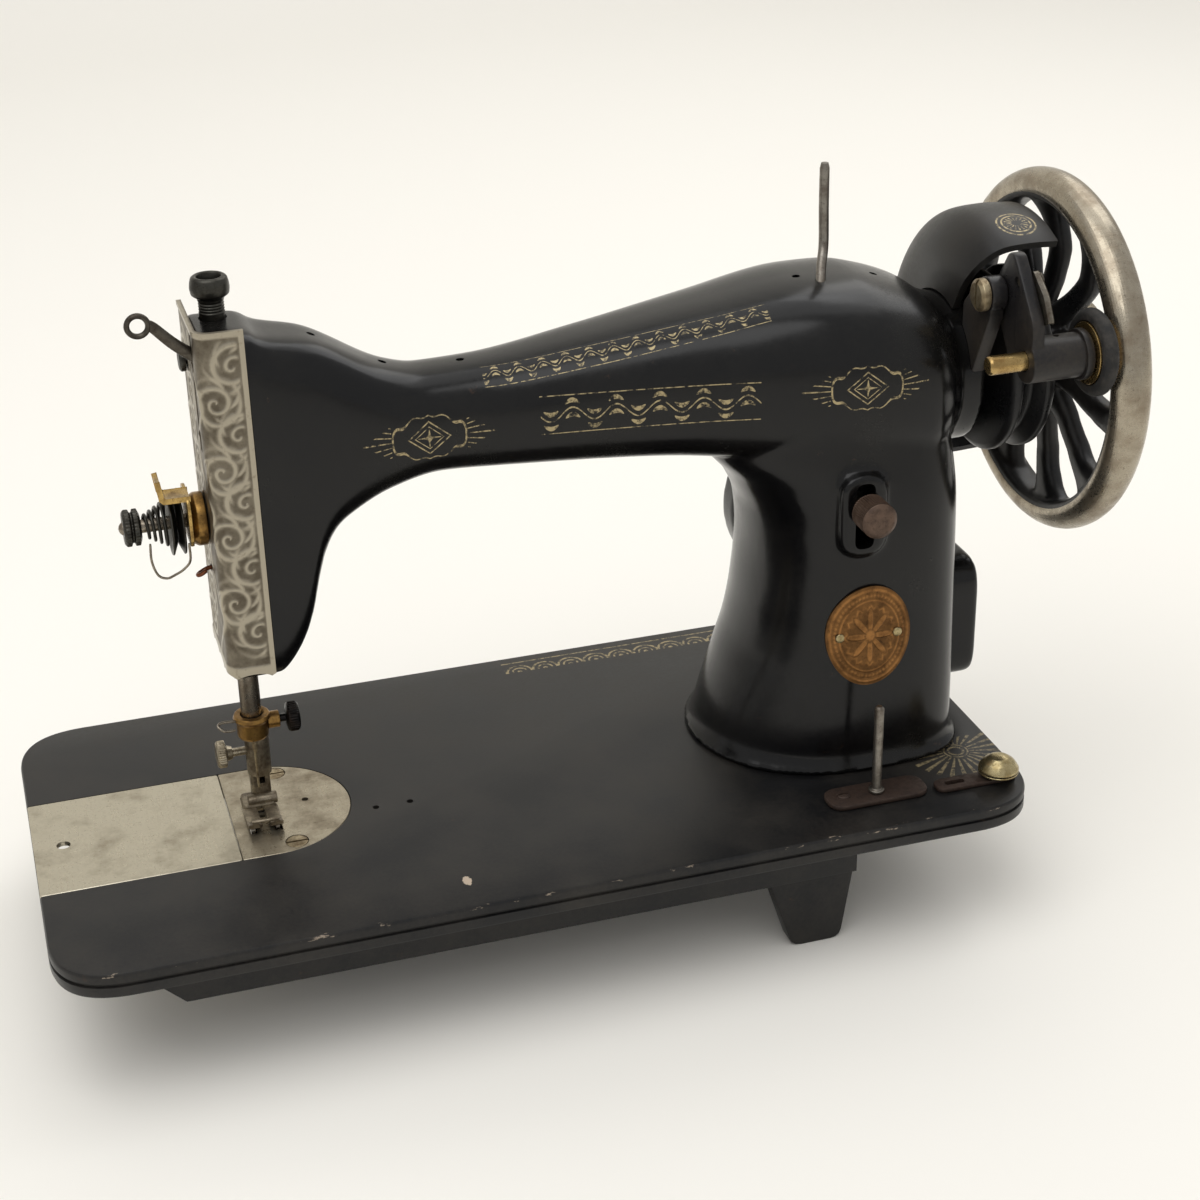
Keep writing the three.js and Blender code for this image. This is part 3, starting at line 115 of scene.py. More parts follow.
def rounded(left, right, low, high, radius, count=9):
    """A rectangle whose corners are quadratic curves of about the given radius."""
    return soften([[left, low], [right, low], [right, high], [left, high]], radius, True, count)


def turned(profile, axis, centre, cut=0.3, sides=48, ring=False):
    """A profile of distances along an axis and radii, softened at its corners and carried round the axis."""
    line = soften(profile, cut, ring)
    angle = np.linspace(0, 2 * np.pi, sides, endpoint=False)
    along = np.repeat(line[:, :1], sides, 1)
    first = line[:, 1:] * np.cos(angle) + centre[0]
    second = line[:, 1:] * np.sin(angle) + centre[1]
    order = {"x": (along, first, second), "y": (first, along, second), "z": (first, second, along)}
    return skin(np.stack(order[axis], -1), ring)


def rod(axis, low, high, radius, centre, cut=0.3, sides=32):
    """A round bar with softened ends."""
    return turned([[low, 0], [low, radius], [high, radius], [high, 0]], axis, centre, cut, sides)


def joined(*parts):
    """Several closed shells as one."""
    starts = np.cumsum([0] + [len(points) for points, _ in parts])
    faces = [[int(v + start) for v in face] for start, (_, part) in zip(starts, parts) for face in part]
    return np.concatenate([points for points, _ in parts]), faces


def solid(name, part, relief=None):
    """A mesh object of the shells, in metres in the model's frame, with its faces turned outwards."""
    points, faces = part
    mesh = bpy.data.meshes.new(name)
    mesh.from_pydata(((points + BED_LEFT) * MM).tolist(), [], faces)
    if relief is not None:
        mesh.attributes.new("relief", "FLOAT", "POINT").data.foreach_set("value", relief.astype(np.float32))
    work = bmesh.new()
    work.from_mesh(mesh)
    bmesh.ops.remove_doubles(work, verts=work.verts, dist=2e-6)
    bmesh.ops.recalc_face_normals(work, faces=work.faces)
    work.to_mesh(mesh)
    work.free()
    made = bpy.data.objects.new(name, mesh)
    bpy.context.scene.collection.objects.link(made)
    return made


def baked(made):
    """The object's mesh as its modifiers leave it."""
    mesh = bpy.data.meshes.new_from_object(made.evaluated_get(bpy.context.evaluated_depsgraph_get()))
    made.modifiers.clear()
    made.data = mesh
    return made


LIGHT_MESH = 20000  # vertices; below it the shells of a part may overlap and still be cut as one body


def machined(made, *parts):
    """The object less each of the closed shells."""
    tools = [solid("tool", part) for part in parts]
    for tool in tools:
        cut = made.modifiers.new("cut", "BOOLEAN")
        cut.operation = "DIFFERENCE"
        cut.object = tool
        cut.use_self = len(made.data.vertices) < LIGHT_MESH
    baked(made)
    for tool in tools:
        bpy.data.objects.remove(tool)
    return made


def fitted(made, material, *nodes, sharp=32):
    """The piece in its finish, smooth up to an edge angle, in place of the CAD nodes it stands for."""
    made.data.materials.clear()
    made.data.materials.append(material)
    made.data.shade_smooth()
    made.data.set_sharp_from_angle(angle=math.radians(sharp))
    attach(made, BODIES[nodes[0]])
    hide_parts(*nodes)
    return made


def colour(code):
    """A hex sRGB colour as linear red, green, blue and alpha: the sRGB curve undone for each channel."""
    parts = [int(code[i : i + 2], 16) / 255 for i in (0, 2, 4)]
    return [p / 12.92 if p <= 0.04045 else ((p + 0.055) / 1.055) ** 2.4 for p in parts] + [1.0]


def add(tree, kind, inputs=None, **settings):
    """One node with its settings; an input takes a value or another node's output."""
    made = tree.nodes.new(kind)
    for key, value in settings.items():
        setattr(made, key, value)
    for key, value in (inputs or {}).items():
        if isinstance(value, bpy.types.NodeSocket):
            tree.links.new(value, made.inputs[key])
        else:
            made.inputs[key].default_value = value
    return made


def maths(tree, operation, *values):
    """The output of one Math node."""
    return add(tree, "ShaderNodeMath", dict(enumerate(values)), operation=operation).outputs[0]


def blank(name):
    """A material with its output, its shader and the piece's own place in millimetres as x, y and z."""
    material = bpy.data.materials.new(name)
    material.use_nodes = True
    tree = material.node_tree
    tree.nodes.clear()
    shader = add(tree, "ShaderNodeBsdfPrincipled")
    output = add(tree, "ShaderNodeOutputMaterial")
    tree.links.new(shader.outputs[0], output.inputs["Surface"])
    place = add(tree, "ShaderNodeTexCoord").outputs["Object"]
    scaled = add(tree, "ShaderNodeVectorMath", {0: place, 1: (1000, 1000, 1000), 2: tuple(-BED_LEFT)},
                 operation="MULTIPLY_ADD").outputs[0]
    return material, tree, shader, scaled


def grain(tree, place, size, detail=3.0, stretch=(1, 1, 1), rough=0.55):
    """Noise whose lumps are about `size` millimetres across, drawn out by the stretch."""
    scale = tuple(1 / (size * s) for s in stretch)
    moved = add(tree, "ShaderNodeVectorMath", {0: place, 1: scale}, operation="MULTIPLY").outputs[0]
    noise = add(tree, "ShaderNodeTexNoise",
                {"Vector": moved, "Scale": 1.0, "Detail": detail, "Roughness": rough})
    return noise.outputs["Fac"]


def between(tree, value, low, high, to_low=0.0, to_high=1.0):
    """The value's share of the way from low to high, kept inside them, read off from to_low to to_high."""
    return add(tree, "ShaderNodeMapRange", {"Value": value, "From Min": low, "From Max": high,
                                            "To Min": to_low, "To Max": to_high}).outputs[0]


def blend(tree, share, low, high):
    """Two colours mixed by a share."""
    made = add(tree, "ShaderNodeMix", data_type="RGBA")
    for socket, value in zip((made.inputs[0], made.inputs[6], made.inputs[7]), (share, low, high)):
        if isinstance(value, bpy.types.NodeSocket):
            tree.links.new(value, socket)
        else:
            socket.default_value = value
    return made.outputs[2]


def sum_of(tree, *shares):
    """The largest of several masks."""
    total = shares[0]
    for share in shares[1:]:
        total = maths(tree, "MAXIMUM", total, share)
    return total


def all_of(tree, *shares):
    """The product of several masks."""
    total = shares[0]
    for share in shares[1:]:
        total = maths(tree, "MULTIPLY", total, share)
    return total


def fan(tree, x, y, centre, inner, outer, spread):
    """Rays about a centre between two radii, with a ring and a small rosette inside them."""
    dx, dy = maths(tree, "SUBTRACT", x, centre[0]), maths(tree, "SUBTRACT", y, centre[1])
    radius = maths(tree, "SQRT", maths(tree, "MULTIPLY_ADD", dx, dx, maths(tree, "MULTIPLY", dy, dy)))
    angle = maths(tree, "PINGPONG", maths(tree, "ARCTAN2", dy, dx), spread)
    rays = all_of(tree, maths(tree, "LESS_THAN", angle, spread * 0.38),
                  maths(tree, "GREATER_THAN", radius, inner), maths(tree, "LESS_THAN", radius, outer))
    petals = maths(tree, "COMPARE", radius, maths(tree, "MULTIPLY_ADD", angle, 3.0, inner * 0.5), 0.45)
    return sum_of(tree, rays, petals, maths(tree, "COMPARE", radius, inner * 0.85, 0.35))


# Japan is a black baked asphalt varnish: deep black, glossy where it was rubbed, dulled by handling and dust.
def japan(name, base="111113", dust="2b2722", gold=None, gloss=(0.2, 0.42), chips=None):
    material, tree, shader, place = blank(name)
    x, y, z = add(tree, "ShaderNodeSeparateXYZ", {0: place}).outputs
    cloud = grain(tree, place, 38, 4)
    speck = grain(tree, place, 1.6, 2, rough=0.7)  # dust grit, drawn coarser than it is so that it shows
    film = between(tree, maths(tree, "MULTIPLY_ADD", speck, 0.35, cloud), 0.55, 0.95)
    tone = blend(tree, film, colour(base), colour(dust))
    rust = between(tree, grain(tree, place, 7, 5, rough=0.7), 0.66, 0.72)
    tone = blend(tree, maths(tree, "MULTIPLY", rust, 0.45), tone, colour("3a2a1f"))
    shine = between(tree, maths(tree, "MULTIPLY_ADD", speck, 0.5, cloud), 0.5, 0.95, *gloss)
    metal = 0.0
    if gold:
        worn = between(tree, grain(tree, place, 2.2, 4, rough=0.7), 0.4, 0.56)
        mask = maths(tree, "MULTIPLY", gold(tree, x, y, z), worn)
        tone = blend(tree, maths(tree, "MULTIPLY", mask, 0.85), tone, colour("b5a47c"))
        shine = maths(tree, "MAXIMUM", shine, maths(tree, "MULTIPLY", mask, 0.42))
        metal = maths(tree, "MULTIPLY", mask, 0.4)
    if chips:
        bare = chips(tree, x, y, z, place)
        tone = blend(tree, bare, tone, colour("b9a894"))
        shine = maths(tree, "MAXIMUM", shine, maths(tree, "MULTIPLY", bare, 0.6))
    tree.links.new(tone, shader.inputs["Base Color"])
    tree.links.new(shine, shader.inputs["Roughness"])
    if gold:
        tree.links.new(metal, shader.inputs["Metallic"])
    # An old, dry film gives back less light than a new one.
    shader.inputs["Specular IOR Level"].default_value = 0.3
    bump = add(tree, "ShaderNodeBump", {"Height": cloud, "Strength": 0.12, "Distance": 0.0006})
    fine = add(tree, "ShaderNodeBump", {"Height": speck, "Strength": 0.25, "Distance": 0.00006,
                                        "Normal": bump.outputs[0]})
    tree.links.new(fine.outputs[0], shader.inputs["Normal"])
    return material


def bed_gold(tree, x, y, z):
    """Fans of two arcs on a line along the back edge, and a fan of rays by the right front corner."""
    step, line = 5.6, 75.0
    across = maths(tree, "SUBTRACT", maths(tree, "PINGPONG", x, step), step)
    up = maths(tree, "SUBTRACT", y, line)
    radius = maths(tree, "SQRT", maths(tree, "MULTIPLY_ADD", across, across,
                                       maths(tree, "MULTIPLY", up, up)))
    arcs = sum_of(tree, maths(tree, "COMPARE", radius, 5.2, 0.5), maths(tree, "COMPARE", radius, 3.0, 0.4),
                  maths(tree, "LESS_THAN", radius, 1.0), maths(tree, "COMPARE", y, 83.2, 0.35))
    border = all_of(tree, arcs, maths(tree, "GREATER_THAN", y, line - 0.4), maths(tree, "LESS_THAN", y, 84),
                    maths(tree, "GREATER_THAN", x, 201), maths(tree, "LESS_THAN", x, 356))
    corner = all_of(tree, fan(tree, x, y, (351, -46), 5.5, 20, 0.13), maths(tree, "LESS_THAN", y, -36), 0.6)
    flat = maths(tree, "GREATER_THAN", z, -0.8)
    return all_of(tree, sum_of(tree, border, corner), flat)


def bed_chips(tree, x, y, z, place):
    """Bare metal where noise passes a limit close to the front edge, and one knock on the top."""
    edge = all_of(tree, maths(tree, "LESS_THAN", y, -87.5), maths(tree, "GREATER_THAN", z, -1.3))
    torn = between(tree, grain(tree, place, 4, 5, (3, 1, 1), 0.7), 0.6, 0.64)
    dx, dy = maths(tree, "SUBTRACT", x, 147.2), maths(tree, "SUBTRACT", y, -72.0)
    spot = maths(tree, "MULTIPLY_ADD", dx, maths(tree, "MULTIPLY", dx, 0.16),
                 maths(tree, "MULTIPLY", maths(tree, "MULTIPLY", dy, dy), 0.06))
    ragged = maths(tree, "ADD", spot, maths(tree, "MULTIPLY", grain(tree, place, 2, 4, rough=0.8), 1.6))
    knock = all_of(tree, maths(tree, "LESS_THAN", ragged, 1.25), maths(tree, "GREATER_THAN", z, -1))
    return sum_of(tree, all_of(tree, edge, torn, 0.5), knock)


def box(x, y, z):
    """A plain block between two places on each axis."""
    return plate([[x[0], y[0]], [x[1], y[0]], [x[1], y[1]], [x[0], y[1]]], "z", z[0], z[1], 0.01)


BED = (368.3, 88.9)  # length, half depth
PLATE_HALF, SEAT_HALF = 32.0, 32.3
PLATE_ARC_X = 86.6  # where the needle plate's round end has its centre
SHUTTLE_Z = -33.0
FEED_SHAFT = (48.0, -30.0)

bed_profile = [(-10, 1.2), (-9.4, 0.3), (-8.6, 0), (-5.4, 0), (-5.15, 0.9), (-4.05, 0.9), (-3.8, 0.1),
               (-1.4, 0), (-0.7, 0.16), (-0.2, 0.6), (0, 1.4)]
bed_top = stacked(rounded(0, BED[0], -BED[1], BED[1], 27, 25), "z", bed_profile)
under = plate(rounded(6, BED[0] - 6, -82.9, 82.9, 19, 13), "z", -12, -4.6, 0.01)
arc = np.linspace(-np.pi / 2, np.pi / 2, 60)
needle_seat = np.stack([PLATE_ARC_X + SEAT_HALF * np.cos(arc), SEAT_HALF * np.sin(arc)], 1)
needle_seat = np.concatenate([[[72, -SEAT_HALF]], needle_seat, [[72, SEAT_HALF]]])
bed = machined(
    solid("bed_casting", bed_top), under, box((-2, 74.1), (-SEAT_HALF, SEAT_HALF), (-2.2, 2)),
    plate(needle_seat, "z", -2.2, 2, 0.01), box((6, 70), (-27, 27), (-12, 2)),
    box((69, 105), (-21, 21), (-12, 2)),
    box((288, 340), (-28, 28), (-12, 2)),
    joined(*[rod("z", -12, 2, 1.3, (x, -12), 0.01) for x in (126.6, 139.8)],
           *[rod("z", -12, 2, 2.2, (94, y), 0.01) for y in (-25.7, 25.7)]))


def rail(side):
    """A rail under one long edge and the leg below its right end, both of even thickness."""
    web = [[36, -4.4], [36, -19], [44, -27], [298, -27], [298, -4.4]]
    leg = [[260, -18], [272, -56], [292, -56], [298, -18]]
    near, far = sorted((side * 74.4, side * 70.4))
    thin, thick = sorted((side * 74.1, side * 66.4))
    return joined(plate(web, "y", near, far, 0.6), plate(soften(leg, 4, True), "y", thin, thick, 1.0))


def lug(x, y, z, radius):
    """A hanging bearing: a strap from the bed's underside to a round boss."""
    strap = [[y - radius, z], [y + radius, z], [y + radius, -4.4], [y - radius, -4.4]]
    return joined(plate(strap, "x", x, x + 8, 0.6), rod("x", x, x + 8, radius, (y, z), 0.6))


hangers = machined(
    solid("bed_hangers", joined(*[lug(x, 0, SHUTTLE_Z, 9) for x in (128, 282)],
                                *[lug(x, *FEED_SHAFT, 8) for x in (112, 270)])),
    rod("x", 100, 320, 4.8, (0, SHUTTLE_Z), 0.01), rod("x", 100, 320, 4.3, FEED_SHAFT, 0.01))
bed_japan = japan("bed black japan, dulled", "121213", "2d2a26", bed_gold, (0.28, 0.46), bed_chips)
fitted(bed, bed_japan, "bed")
fitted(hangers, bed_japan, "bed")
fitted(solid("bed_rails_and_legs", joined(rail(-1), rail(1))), bed_japan, "bed")

# ---- slide plate, needle plate and their screws ----
# Two ground steel plates lie flush in seats of the bed: one slides out to the left over the shuttle, the
# other is held by two sunk screws and has slots for the feed teeth. Their nickel plate is yellowed,
# scratched and rubbed thin round the needle hole.
NEEDLE = (84.5, -4.0)
SCREW_X, SCREW_Y = 94.0, 25.7
ROW_STEP = 4.6  # between two rows of feed teeth


# Nickel plate over steel: a warm silver with a soft shine, fine scratches and brown tarnish in patches.
def nickel(name, base="b8ad98", stain="6d5c45", rough=(0.28, 0.5), limit=(0.5, 0.72), size=18, scratch=0.4):
    material, tree, shader, place = blank(name)
    patch = between(tree, grain(tree, place, size, 6, rough=0.65), *limit)
    speck = between(tree, grain(tree, place, 1.2, 3, rough=0.75), 0.6, 0.68)
    tone = blend(tree, maths(tree, "MULTIPLY", patch, 0.75), colour(base), colour(stain))
    tone = blend(tree, maths(tree, "MULTIPLY", speck, 0.4), tone, colour("3d2c20"))
    # Hairlines, drawn about four times as wide as they are so that they show.
    lines = grain(tree, place, 0.9, 2, (26, 1, 1), 0.6)
    crossed = grain(tree, place, 1.1, 2, (1, 22, 4), 0.6)
    marks = maths(tree, "ADD", lines, crossed)
    shine = maths(tree, "ADD", between(tree, patch, 0, 1, *rough),
                  between(tree, marks, 0.8, 1.25, -0.07, 0.1))
    bump = add(tree, "ShaderNodeBump", {"Height": marks, "Strength": scratch, "Distance": 0.00004})
    tree.links.new(tone, shader.inputs["Base Color"])
    tree.links.new(shine, shader.inputs["Roughness"])
    tree.links.new(bump.outputs[0], shader.inputs["Normal"])
    shader.inputs["Metallic"].default_value = 0.92
    return material


plate_nickel = nickel("nickel plate, yellowed", "bcb5a3", "8d8370", (0.32, 0.5))
slide = stacked(rounded(0.2, 72.8, -PLATE_HALF, PLATE_HALF, 1.2), "z",
                [(-1.9, 0.2), (-1.7, 0), (-0.2, 0), (0, 0.2)])
slide_plate = machined(solid("slide_plate_ground", slide), rod("z", -5, 2, 2.6, (11.2, 0), 0.01))
fitted(slide_plate, plate_nickel, "slide_plate")

plate_arc = np.stack([PLATE_ARC_X + PLATE_HALF * np.cos(arc), PLATE_HALF * np.sin(arc)], 1)
needle_outline = np.concatenate([[[73.1, -PLATE_HALF]], plate_arc, [[73.1, PLATE_HALF]]])
needle_blank = stacked(needle_outline, "z", [(-1.9, 0.2), (-1.7, 0), (-0.2, 0), (0, 0.2)])
teeth_slots = [box((NEEDLE[0] + row - 1.4, NEEDLE[0] + row + 1.4), (-1 if row == 0 else -15.5, 11.5),
                   (-5, 2)) for row in (-ROW_STEP, 0, ROW_STEP)]
sinks = [turned([[-5, 0], [-5, 2.2], [-1.5, 2.2], [-1.2, 4.4], [2, 4.4], [2, 0]], "z", (SCREW_X, y), 0.01)
         for y in (-SCREW_Y, SCREW_Y)]
needle_plate = machined(solid("needle_plate_ground", needle_blank),
                        joined(*teeth_slots, *sinks, rod("z", -5, 2, 1.2, NEEDLE, 0.01),
                               rod("z", -5, 2, 1.3, (102.1, 2.7), 0.01)))
fitted(needle_plate, nickel("nickel plate, rubbed", "aca390", "6c5f4b", (0.3, 0.5), (0.42, 0.68), 12),
       "needle_plate")


def slotted(name, node, profile, axis, centre, slot, material):
    """A turned screw with one straight slot sawn in its head."""
    return fitted(machined(solid(name, turned(profile, axis, centre, 0.25, 40)), slot), material, node)


screw_nickel = nickel("nickel screw, stained", "a99b7e", "57452f", (0.35, 0.5), (0.4, 0.6), 5)
for place, y in (("front", -SCREW_Y), ("rear", SCREW_Y)):
    slotted(f"needle_plate_sunk_screw_{place}", f"needle_plate_screw_{place}",
            [[-9, 0], [-9, 1.9], [-0.9, 1.9], [-0.9, 4.1], [0.02, 4.1], [0.02, 0]], "z", (SCREW_X, y),
            box((SCREW_X - 5, SCREW_X + 5), (y - 0.45, y + 0.45), (-0.65, 1)), screw_nickel)

# ---- arm and pillar ----
# The arm and its pillar are a single hollow casting that narrows behind the head, swells over the pillar
# and ends in a round boss. Black japan is baked on and rubbed; gold transfers lie on the front, and a slot,
# oil holes and bores are machined through the wall. It is drawn as one smooth skin over joined shells.
SHAFT_Z = 144.0
BOSS = 28.7
ARM_LEFT, ARM_RIGHT = 78.0, 364.0
PILLAR_X = 312.0
STITCH_X, SLOT_Z = 309.0, 107.0
COVER = (309.0, 78.0)
PRESSER = (86.5, 6.0)
LIFTER = (90.0, 96.0)
PINS_X, PINS_Z = (301.1, 323.6), 57.5


def smooth(*points):
    """A curve through [place, value] points: on each span a cubic whose end slopes are the harmonic mean of
    the slopes on both sides, and level where those have different signs, so that it never overshoots."""
    place, value = np.array(points, float).T
    rise = np.diff(value) / np.diff(place)
    slope = np.zeros(len(place))
    same = rise[:-1] * rise[1:] > 0
    slope[1:-1][same] = 2 * rise[:-1][same] * rise[1:][same] / (rise[:-1] + rise[1:])[same]

    def at(where):
        where = np.clip(where, place[0], place[-1])
        i = np.clip(np.searchsorted(place, where, "right") - 1, 0, len(place) - 2)
        wide = place[i + 1] - place[i]
        t = (where - place[i]) / wide
        ends = value[i] * (1 + 2 * t) * (1 - t) ** 2 + value[i + 1] * t**2 * (3 - 2 * t)
        return ends + wide * (slope[i] * t * (1 - t) ** 2 - slope[i + 1] * t**2 * (1 - t))

    return at


arm_top = smooth([78, 194], [94, 194], [100, 190.5], [116, 187], [145, 172], [156, 169.6], [176, 170.1],
                 [217, 175.4], [260, 182], [300, 187.3], [316, 186.9], [329, 184], [342, 179],
                 [349, SHAFT_Z + BOSS + 1.5], [354, SHAFT_Z + BOSS], [364, SHAFT_Z + BOSS])
arm_under = smooth([78, 64], [96, 64], [100.2, 68], [105.2, 75.4], [109, 84.6], [112, 97], [115, 107],
                   [120, 115.8], [126.4, 120.6], [141.6, 127.6], [160, 131.2], [180, 130.4], [240, 127],
                   [300, 118], [342, 112], [349, SHAFT_Z - BOSS - 1.5], [354, SHAFT_Z - BOSS],
                   [364, SHAFT_Z - BOSS])
arm_half = smooth([78, 20.7], [96, 21], [116, 21], [150, 19.5], [165, 19.5], [200, 23], [250, 30.5],
                  [280, 37], [300, 41], [322, 43], [338, 41.5], [348, 36], [354, BOSS], [364, BOSS])
arm_square = smooth([78, 7], [100, 6], [125, 3.4], [160, 2.5], [300, 2.7], [340, 2.6], [354, 2])
pillar_left = smooth([0, 260], [10, 262], [30, 269], [45, 274.5], [60, 277.5], [82, 279.5], [98, 278],
                     [112, 272], [126, 262])
pillar_right = smooth([0, 358], [100, 357], [126, 354], [140, 351])
pillar_half = smooth([0, 46.5], [60, 45], [107, 43.5], [140, 40.5])


def squared(value, power):
    """The sine or cosine of a superellipse: its size to the power of two over the figure's power."""
    return np.sign(value) * np.abs(value) ** (2 / power)


def arm_shell(left, right, inset=0.0, steps=110, around=96):
    """Superellipses across the arm, each between the top, underside and half-width lines at its place."""
    x = np.linspace(left, right, steps)[:, None]
    t = (np.arange(around) + 0.5) / around * 2 * np.pi
    high, low, half = arm_top(x) - inset, arm_under(x) + inset, arm_half(x) - inset
    y = half * squared(np.cos(t), arm_square(x))
    z = (high + low) / 2 + (high - low) / 2 * squared(np.sin(t), arm_square(x))
    return skin(np.stack([x + 0 * y, y, z], -1))


def pillar_shell(low, high, inset=0.0, steps=50, around=96):
    """Level superellipses round the pillar, softer on its left side than on its right."""
    z = np.linspace(low, high, steps)[:, None]
    t = (np.arange(around) + 0.5) / around * 2 * np.pi
    to_right = np.cos(t) > 0
    power = np.where(to_right, 3.6, 2.1)
    reach = np.where(to_right, pillar_right(z) - PILLAR_X, PILLAR_X - pillar_left(z)) - inset
    x = PILLAR_X + reach * squared(np.cos(t), power)
    y = (pillar_half(z) - inset) * squared(np.sin(t), power)
    return skin(np.stack([x, y, z + 0 * x], -1))


def base_flange():
    """The foot of the pillar, spread by a few millimetres with a rounded edge and a hollow above it."""
    rows = [pillar_shell(z, z + 0.01, -out, 2)[0][:96] for z, out in
            ((0.3, 2.0), (0.6, 2.8), (1.2, 3.1), (2.0, 2.6), (3.0, 1.5), (4.4, 0.7), (7, 0.1), (8, -0.6))]
    return skin(rows)


def slot_rim():
    """An oval band just proud of the pillar's front round the stitch slot."""
    rows = []
    for depth, width in ((-41, 9), (-45.2, 9), (-45.9, 8.7), (-46.2, 8.2)):
        ring = rounded(STITCH_X - width, STITCH_X + width, SLOT_Z - width - 7, SLOT_Z + width + 7,
                       width * 1.3, 9)
        rows.append(np.insert(ring, 1, depth, axis=1))
    return skin(rows)


def face_of_pillar(x, z, out=0.0):
    """The front of the pillar: minus its half depth on the superellipse at that place."""
    to_right = x > PILLAR_X
    power = np.where(to_right, 3.6, 2.1)
    reach = np.where(to_right, pillar_right(z) - PILLAR_X, PILLAR_X - pillar_left(z))
    return -(pillar_half(z) * (1 - np.abs((x - PILLAR_X) / reach) ** power) ** (1 / power)) - out


pad = plate(rounded(-14, 30, 12, 64, 12, 9), "x", 340, 374, 2.0)
angle = np.linspace(0, 2 * np.pi, 64, endpoint=False)
cover_pad = np.stack([COVER[0] + 22 * np.cos(angle), COVER[1] + 29 * np.sin(angle)], 1)
cover_pad = plate(cover_pad, "y", 34, 46.2, 0.8)
arm = solid("arm_casting", joined(arm_shell(ARM_LEFT, ARM_RIGHT), pillar_shell(0.3, 140), base_flange(),
                                  slot_rim(), pad, cover_pad))
melt = arm.modifiers.new("melt", "REMESH")
melt.mode = "VOXEL"
melt.voxel_size = 1.2 * MM
settle = arm.modifiers.new("settle", "SMOOTH")
settle.factor = 0.5
settle.iterations = 7
baked(arm)

pin_path = [[300.5, -17, 172], [302.2, -14.6, 182], [306, -6, 190], [309, -0.6, 197], [309, 0, 212],
            [309, 0, 226.98]]
room_in_head = plate([[80, 72], [94, 72], [101, 90], [107, 106], [108, 181], [100, 184.5], [80, 187]], "y",
                     -16.6, 16.6, 0.5)
oil_holes = [rod("z", float(arm_top(x)) - 8, 220, 1.5, (x, y), 0.01, 20)
             for x, y in ((118.7, 0), (143, 0), (171, 0), (297, -4), (328, -3))]
slot = rounded(STITCH_X - 3.75, STITCH_X + 3.75, SLOT_Z - 13, SLOT_Z + 13, 5, 9)
badge_bores = [rod("y", -60, -40, 1.5, (x, PINS_Z), 0.01, 16) for x in PINS_X]
rear_way = np.stack([COVER[0] + 15 * np.cos(angle), COVER[1] - 3 + 19 * np.sin(angle)], 1)
arm = machined(
    arm, room_in_head, arm_shell(124, 346, 5, 30, 24), pillar_shell(3, 133, 5, 14, 24),
    box((282, 344), (-30, 30), (-1, 10)), box((60, 93.3), (-60, -16.8), (0, 250)),
    joined(rod("x", 102, 380, 6.3, (0, SHAFT_Z), 0.01), plate(slot, "y", -60, -33, 0.01), *badge_bores,
           plate(rear_way, "y", 36, 60, 0.01),
           rod("z", 50, 80, 4.05, NEEDLE, 0.01), rod("z", 50, 80, 3.3, PRESSER, 0.01),
           rod("z", 183, 200, 4.9, PRESSER, 0.01), rod("z", 183, 200, 4.05, NEEDLE, 0.01),
           rod("y", 12, 30, 3.3, LIFTER, 0.01), box((60, 84), (-13, -7), (170, 188)), *oil_holes))


def cartouche(tree, x, z, centre):
    """A double diamond in a curved frame, with a fan of fine rays to both sides."""
    across = maths(tree, "ABSOLUTE", maths(tree, "SUBTRACT", x, centre[0]))
    up = maths(tree, "ABSOLUTE", maths(tree, "SUBTRACT", z, centre[1]))
    diamond = maths(tree, "MULTIPLY_ADD", across, 1 / 7.5, maths(tree, "MULTIPLY", up, 1 / 6))
    frame_line = maths(tree, "ADD", maths(tree, "POWER", maths(tree, "MULTIPLY", across, 1 / 12.5), 1.5),
                       maths(tree, "POWER", maths(tree, "MULTIPLY", up, 1 / 8.2), 2.6))
    waved = maths(tree, "MULTIPLY_ADD", maths(tree, "SINE", maths(tree, "MULTIPLY", across, 0.9)), 0.14,
                  frame_line)
    slope = maths(tree, "PINGPONG", maths(tree, "DIVIDE", up, maths(tree, "MAXIMUM", across, 0.1)), 0.065)
    rays = all_of(tree, maths(tree, "LESS_THAN", slope, 0.013), maths(tree, "GREATER_THAN", across, 13.6),
                  maths(tree, "LESS_THAN", maths(tree, "MULTIPLY_ADD", up, 1.7, across), 24))
    cross = all_of(tree, maths(tree, "LESS_THAN", maths(tree, "MULTIPLY", across, up), 0.55),
                   maths(tree, "LESS_THAN", diamond, 0.55))
    return sum_of(tree, maths(tree, "COMPARE", diamond, 1.0, 0.05),
                  maths(tree, "COMPARE", diamond, 0.68, 0.035),
                  maths(tree, "COMPARE", waved, 1.0, 0.07), rays, cross)


def vine(tree, along, across, left, right, high):
    """A waved stem with leaf-shaped ellipses on both sides of it, between two thin lines."""
    step = high * 1.25
    stem = maths(tree, "MULTIPLY", maths(tree, "SINE", maths(tree, "MULTIPLY", along, np.pi / step)),
                 high * 0.4)
    drawn = maths(tree, "COMPARE", across, stem, high * 0.05)
    way = maths(tree, "MULTIPLY", maths(tree, "SUBTRACT", maths(tree, "PINGPONG", along, step), step * 0.5),
                1 / (high * 0.42))
    off = maths(tree, "SUBTRACT", maths(tree, "ABSOLUTE", maths(tree, "SUBTRACT", across, stem)),
                high * 0.42)
    off = maths(tree, "MULTIPLY", off, 1 / (high * 0.14))
    leaf = maths(tree, "LESS_THAN", maths(tree, "MULTIPLY_ADD", way, way,
                                          maths(tree, "MULTIPLY", off, off)), 1)
    edge = maths(tree, "COMPARE", maths(tree, "ABSOLUTE", across), high * 1.12, high * 0.03)
    return all_of(tree, sum_of(tree, drawn, leaf, edge), maths(tree, "GREATER_THAN", along, left),
                  maths(tree, "LESS_THAN", along, right))


